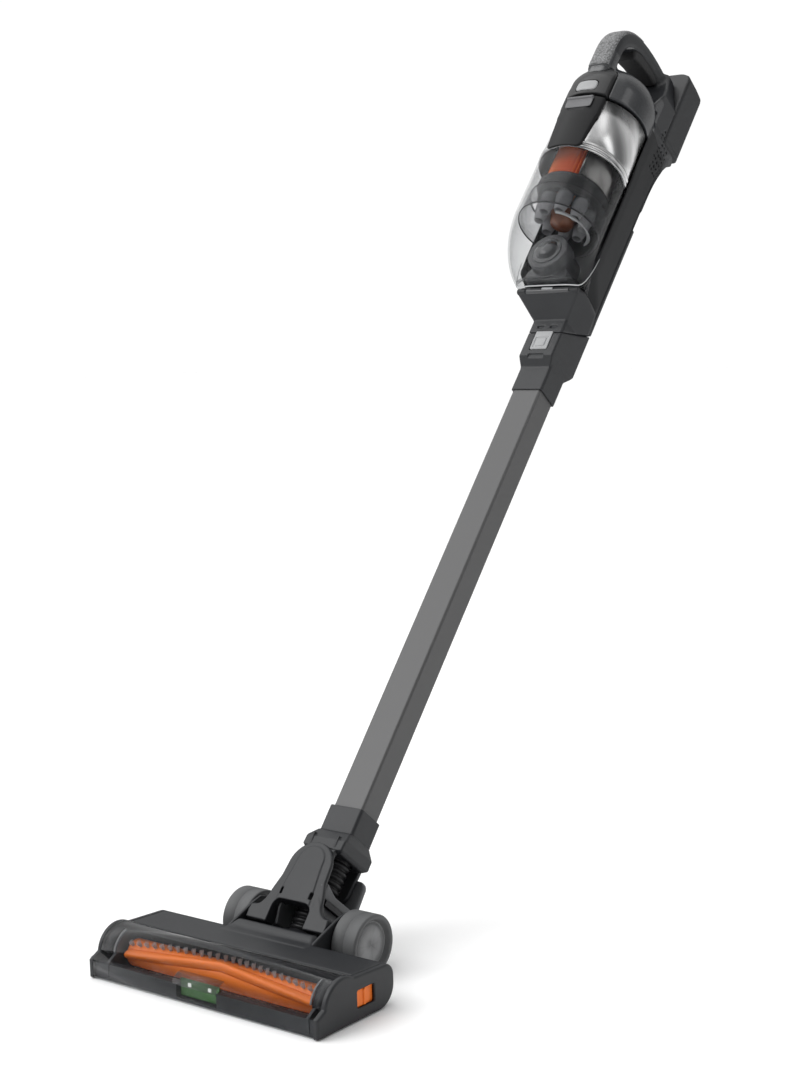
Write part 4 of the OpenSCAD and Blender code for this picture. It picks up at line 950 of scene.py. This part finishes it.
def make_head():
    f = Field((0, -36, 11), (126.4, 28, 45), 0.8)
    ring = cut(f.yz(head_outline()), f.yz(head_outline(2.2)))
    deck = smax(np.maximum(ring, f.slab(0, -124.7, 124.7)), np.maximum(-32.6 - f.Y, 13.6 - f.Z), 0.8)
    ramp = ([(2, 33), (2, 36.2)] + bezier((9, 36.6), (13, 37), (15, 41), (20, 41.2), 10)
            + [(23.4, 40.4), (23.4, 33)])
    hump = smax(f.yz(ramp), f.front([(47.5, 30), (47, 37), (42, 43)]), 1.6)
    d = smin(deck, hump, 3.5)
    d = cut(d, np.maximum(f.line(1, 0, 18.6) - 15.6, -20 - f.Y))
    d = groove(d, np.abs(f.Y + 29.4) - 0.4, 0.5)
    piece(f.mesh(d, "head_cover", "charcoal_plastic", HEAD), "head", "nozzle_cover")

    # a gusset on each side, from the deck up to the wheel
    f = Field((44, 2, 10), (53, 72, 56), 0.5)
    arm = f.bar(0, [(6, 34), (14, 38), (28, 43.4), (44, 49.4), (54, 52), (62, 50), (66, 44), (66, 30),
                    (50, 14), (12, 14)], 46.4, 49.5, 1.0)
    piece(f.mesh(arm, "wheel_gusset", "charcoal_plastic", HEAD), "head")

    outer = [(-79, 1.2), (-79, 16.4), (-78.2, 17.4)] + arc(*BRUSH, 24.3, 170, 60.5, 40)
    inner = [(-77.5, 1.2), (-77.5, 16.0)] + arc(*BRUSH, 22.8, 168.5, 60.5, 40)
    window = extrude_x("brush_window_shell", outer + inner[::-1], -124.6, 124.6, "smoked")
    piece(window, "head", "brush_window")
    # dark border under the window, round the part that shows the brush
    strips = [("window_border", 22.6, 21.9, 104, 61, 16, -124.4, 124.4, "near_black_plastic"),
              ("window_side_0", 22.6, 21.9, 172, 104, 20, -124.4, -113.6, "near_black_plastic"),
              ("window_side_1", 22.6, 21.9, 172, 104, 20, 114.6, 124.4, "near_black_plastic"),
              ("window_hoop_0", 22.5, 21.2, 168, 106, 20, -111.5, -111.5 + 1.6, "grey_plastic"),
              ("window_hoop_1", 22.5, 21.2, 168, 106, 20, 111.8, 111.8 + 1.6, "grey_plastic")]
    for name, r0, r1, a0, a1, n, x0, x1, look in strips:
        piece(extrude_x(name, arc(*BRUSH, r0, a0, a1, n) + arc(*BRUSH, r1, a1, a0, n), x0, x1, look), "head")

    for name, x0, x1 in (("end_cap_left", -130, -125), ("end_cap_right", 125, 130)):
        f = Field((x0 - 1.5, -82, -2), (x1 + 1.5, 22, 45), 0.6, halved=False)
        outline, thick = f.yz(head_outline()), f.slab(0, x0, x1)
        # rounded outside; the half next to the head stays square
        outward = f.X - 127.0 if x0 > 0 else -127.0 - f.X
        d = np.minimum(rounded(outline, thick, 1.9), np.maximum(outline, np.maximum(thick, outward)))
        if x0 > 0:
            d = smax(d, -np.maximum(f.yz(box2(-29, -7, 11, 26, 1.6)), f.slab(0, 120, 140)), 0.7)
            d = cut(d, np.maximum(f.yz(box2(-34.4, -1, 9.8, 27.2, 1)), f.slab(0, 120, 127.7)))
        else:
            d = smax(d, -np.maximum(f.yz(box2(-66, -12, 9, 29, 5)), f.X + 129.3), 0.8)
        piece(f.mesh(d, name + "_shell", "charcoal_plastic", HEAD), "head", name, slot="dark_plastic")
    f = Field((124.8, -36, 9), (131, 0, 28), 0.4, halved=False)
    plate = f.bar(0, box2(-34, -6.6, 10.2, 26.8, 1), 125.3, 127.2, 0.3)
    rib = f.bar(0, box2(-20.4, -17.6, 11.6, 25.4, 1.2), 126, 129.8, 0.8)
    pad = f.bar(0, box2(-28.4, -12.6, 11.4, 25.6, 1.5), 126, 128.2, 0.5)
    piece(f.mesh(smin(smin(plate, pad, 0.5), rib, 0.8), "brush_release_slide", "orange", HEAD),
          "brush_release", "brush_release")

    # brush: two rubber fins that wind to the middle and back, and two rows of tufts between them
    x0, x1 = -104.0, 113.0
    steps, tufts, hairs, golden = 110, 26, 14, 2.39996

    def around(x, r, angle):
        return x, BRUSH[0] - r * math.sin(angle), BRUSH[1] + r * math.cos(angle)

    def wound(x, turn):
        return math.radians(-48 * (1 - abs((x - 4.5) / 109.5)) + turn)

    # a fin's section: radius, and angle in radians
    section = ((11.7, -0.42), (13.0, -0.30), (15.6, -0.16), (16.7, -0.05), (16.7, 0.05), (15.6, 0.16),
               (13.0, 0.30), (11.7, 0.42))
    for k, turn in enumerate((82, 262)):
        along = [x0 + (x1 - x0) * i / steps for i in range(steps + 1)]
        rings = [[around(x, r, wound(x, turn) + w) for r, w in section] for x in along]
        fin = weld(loft("brush_fin_%d" % k, rings, "orange", HEAD))
        piece(fin, "brush", *(("brush_fins",) if k == 0 else ()))
    verts, faces = [], []
    for i in range(tufts):
        for turn in (41, 221):
            x = x0 + 3 + (x1 - x0 - 6) * i / (tufts - 1)
            a0 = wound(x, turn)
            for h in range(hairs):
                q = h * golden
                r0 = 1.15 * math.sqrt((h + 0.5) / hairs)
                dx, da = r0 * math.cos(q), r0 * math.sin(q) / 12
                tip = 17.5 - 0.5 * ((h * 7) % 5) / 5
                base = len(verts)
                for r, spread, thick in ((11.8, 1.0, 0.30), (tip, 1.75, 0.20)):
                    verts += [around(x + dx * spread + u, r, a0 + da * spread + v / r)
                              for u, v in circle(0, 0, thick, 4)]
                faces += band_faces(2, 4, base)
                faces += [(base + 3, base + 2, base + 1, base), (base + 4, base + 5, base + 6, base + 7)]
    tuft = weld(solid("brush_tufts", verts, faces, "bristle_grey", HEAD, False))
    piece(tuft, "brush", "brush_bristles")

    # lamp housing behind the front lip
    lens = [(-78.7, 15.2), (-78.7, 18.6), (-77.6, 20.0), (-71.8, 23.2), (-68.0, 24.0), (-67.0, 23.2),
            (-71.4, 22.0), (-76.8, 18.8), (-77.4, 17.8), (-77.4, 15.2)]
    piece(extrude_x("lamp_lens", lens[::-1], -29, 20, "skirt_clear"), "head")
    bumper = block("edge_bumper", (-131.2, -76, 12.5), (-129.4, -64, 18.5), "skirt_clear", HEAD, 0.0007, 3)
    piece(bumper, "head")


def make_wheels():
    for name, s in (("wheel_left", -1), ("wheel_right", 1)):
        turn = Matrix.Translation(AXLE) @ Matrix.Rotation(math.radians(90 * s), 4, "Y") @ HEAD
        tyre = ([(20.6, 51), (25.6, 50.2)] + arc(25.4, 51.8, 1.6, -60, 0, 5)
                + [(27, 62.6), (26.7, 62.9), (26.7, 63.3), (27, 63.6)] + arc(25.2, 74.6, 1.8, 0, 80, 6)
                + [(23.6, 76.5), (22.2, 75.6), (21.2, 73.4), (20.6, 73.2)])
        piece(lathe_mesh(name + "_tread", tyre, (0, 0), "tyre_grey", turn, n=112), name, name + "_tyre")
        hub = [(3.06, 51), (20.5, 51), (20.5, 72.0), (19.9, 72.4), (19.5, 71.2), (18.8, 71.2), (18.3, 72.4),
               (12, 73.0), (0.01, 73.2), (0.01, 71.6), (3.06, 71.6)]
        piece(lathe_mesh(name + "_disc", hub, (0, 0), "hub_grey", turn), name, name + "_hub")


make_casing()
make_panel()
make_bowl()
make_bowl_inside()
make_battery()
make_wand_top()
make_yoke()
make_neck()
make_hose("neck_hose_ribs", "neck_hose", 24.1, 71.4, 8)
make_hose("head_hose_ribs", "head_hose", -5.0, 19.3, 4)
make_head()
make_wheels()

# ---------------------------------------------------------------- nodes kept from the CAD, by bevel in metres
KEPT = {0.0: ("wand_wires",),
        0.0002: ("control_board", "led_board", "led_lamps", "brush_pulley", "brush_bearings", "motor_pinion",
                 "bowl_pin"),
        0.0003: ("fan_impeller", "axle_pins", "swing_pins", "drive_belt"),
        0.0004: ("brush_core", "air_duct", "sole_strip"),
        0.0005: ("wand_tube", "nozzle_base", "hose_clamp", "inlet_spigot", "sole_rollers"),
        0.0006: ("fan_motor", "brush_motor", "battery_cells"),
        0.0008: ("battery_latch",)}
slot_of = {s["node"]: s["material_slot"] for s in frame["record"]["subparts"]}
for width, nodes in KEPT.items():
    for node in nodes:
        obj = frame["nodes"][node]
        obj.data.materials.clear()
        obj.data.materials.append(MATERIALS[slot_of[node]])
        if width:
            finish_mesh(obj, width)
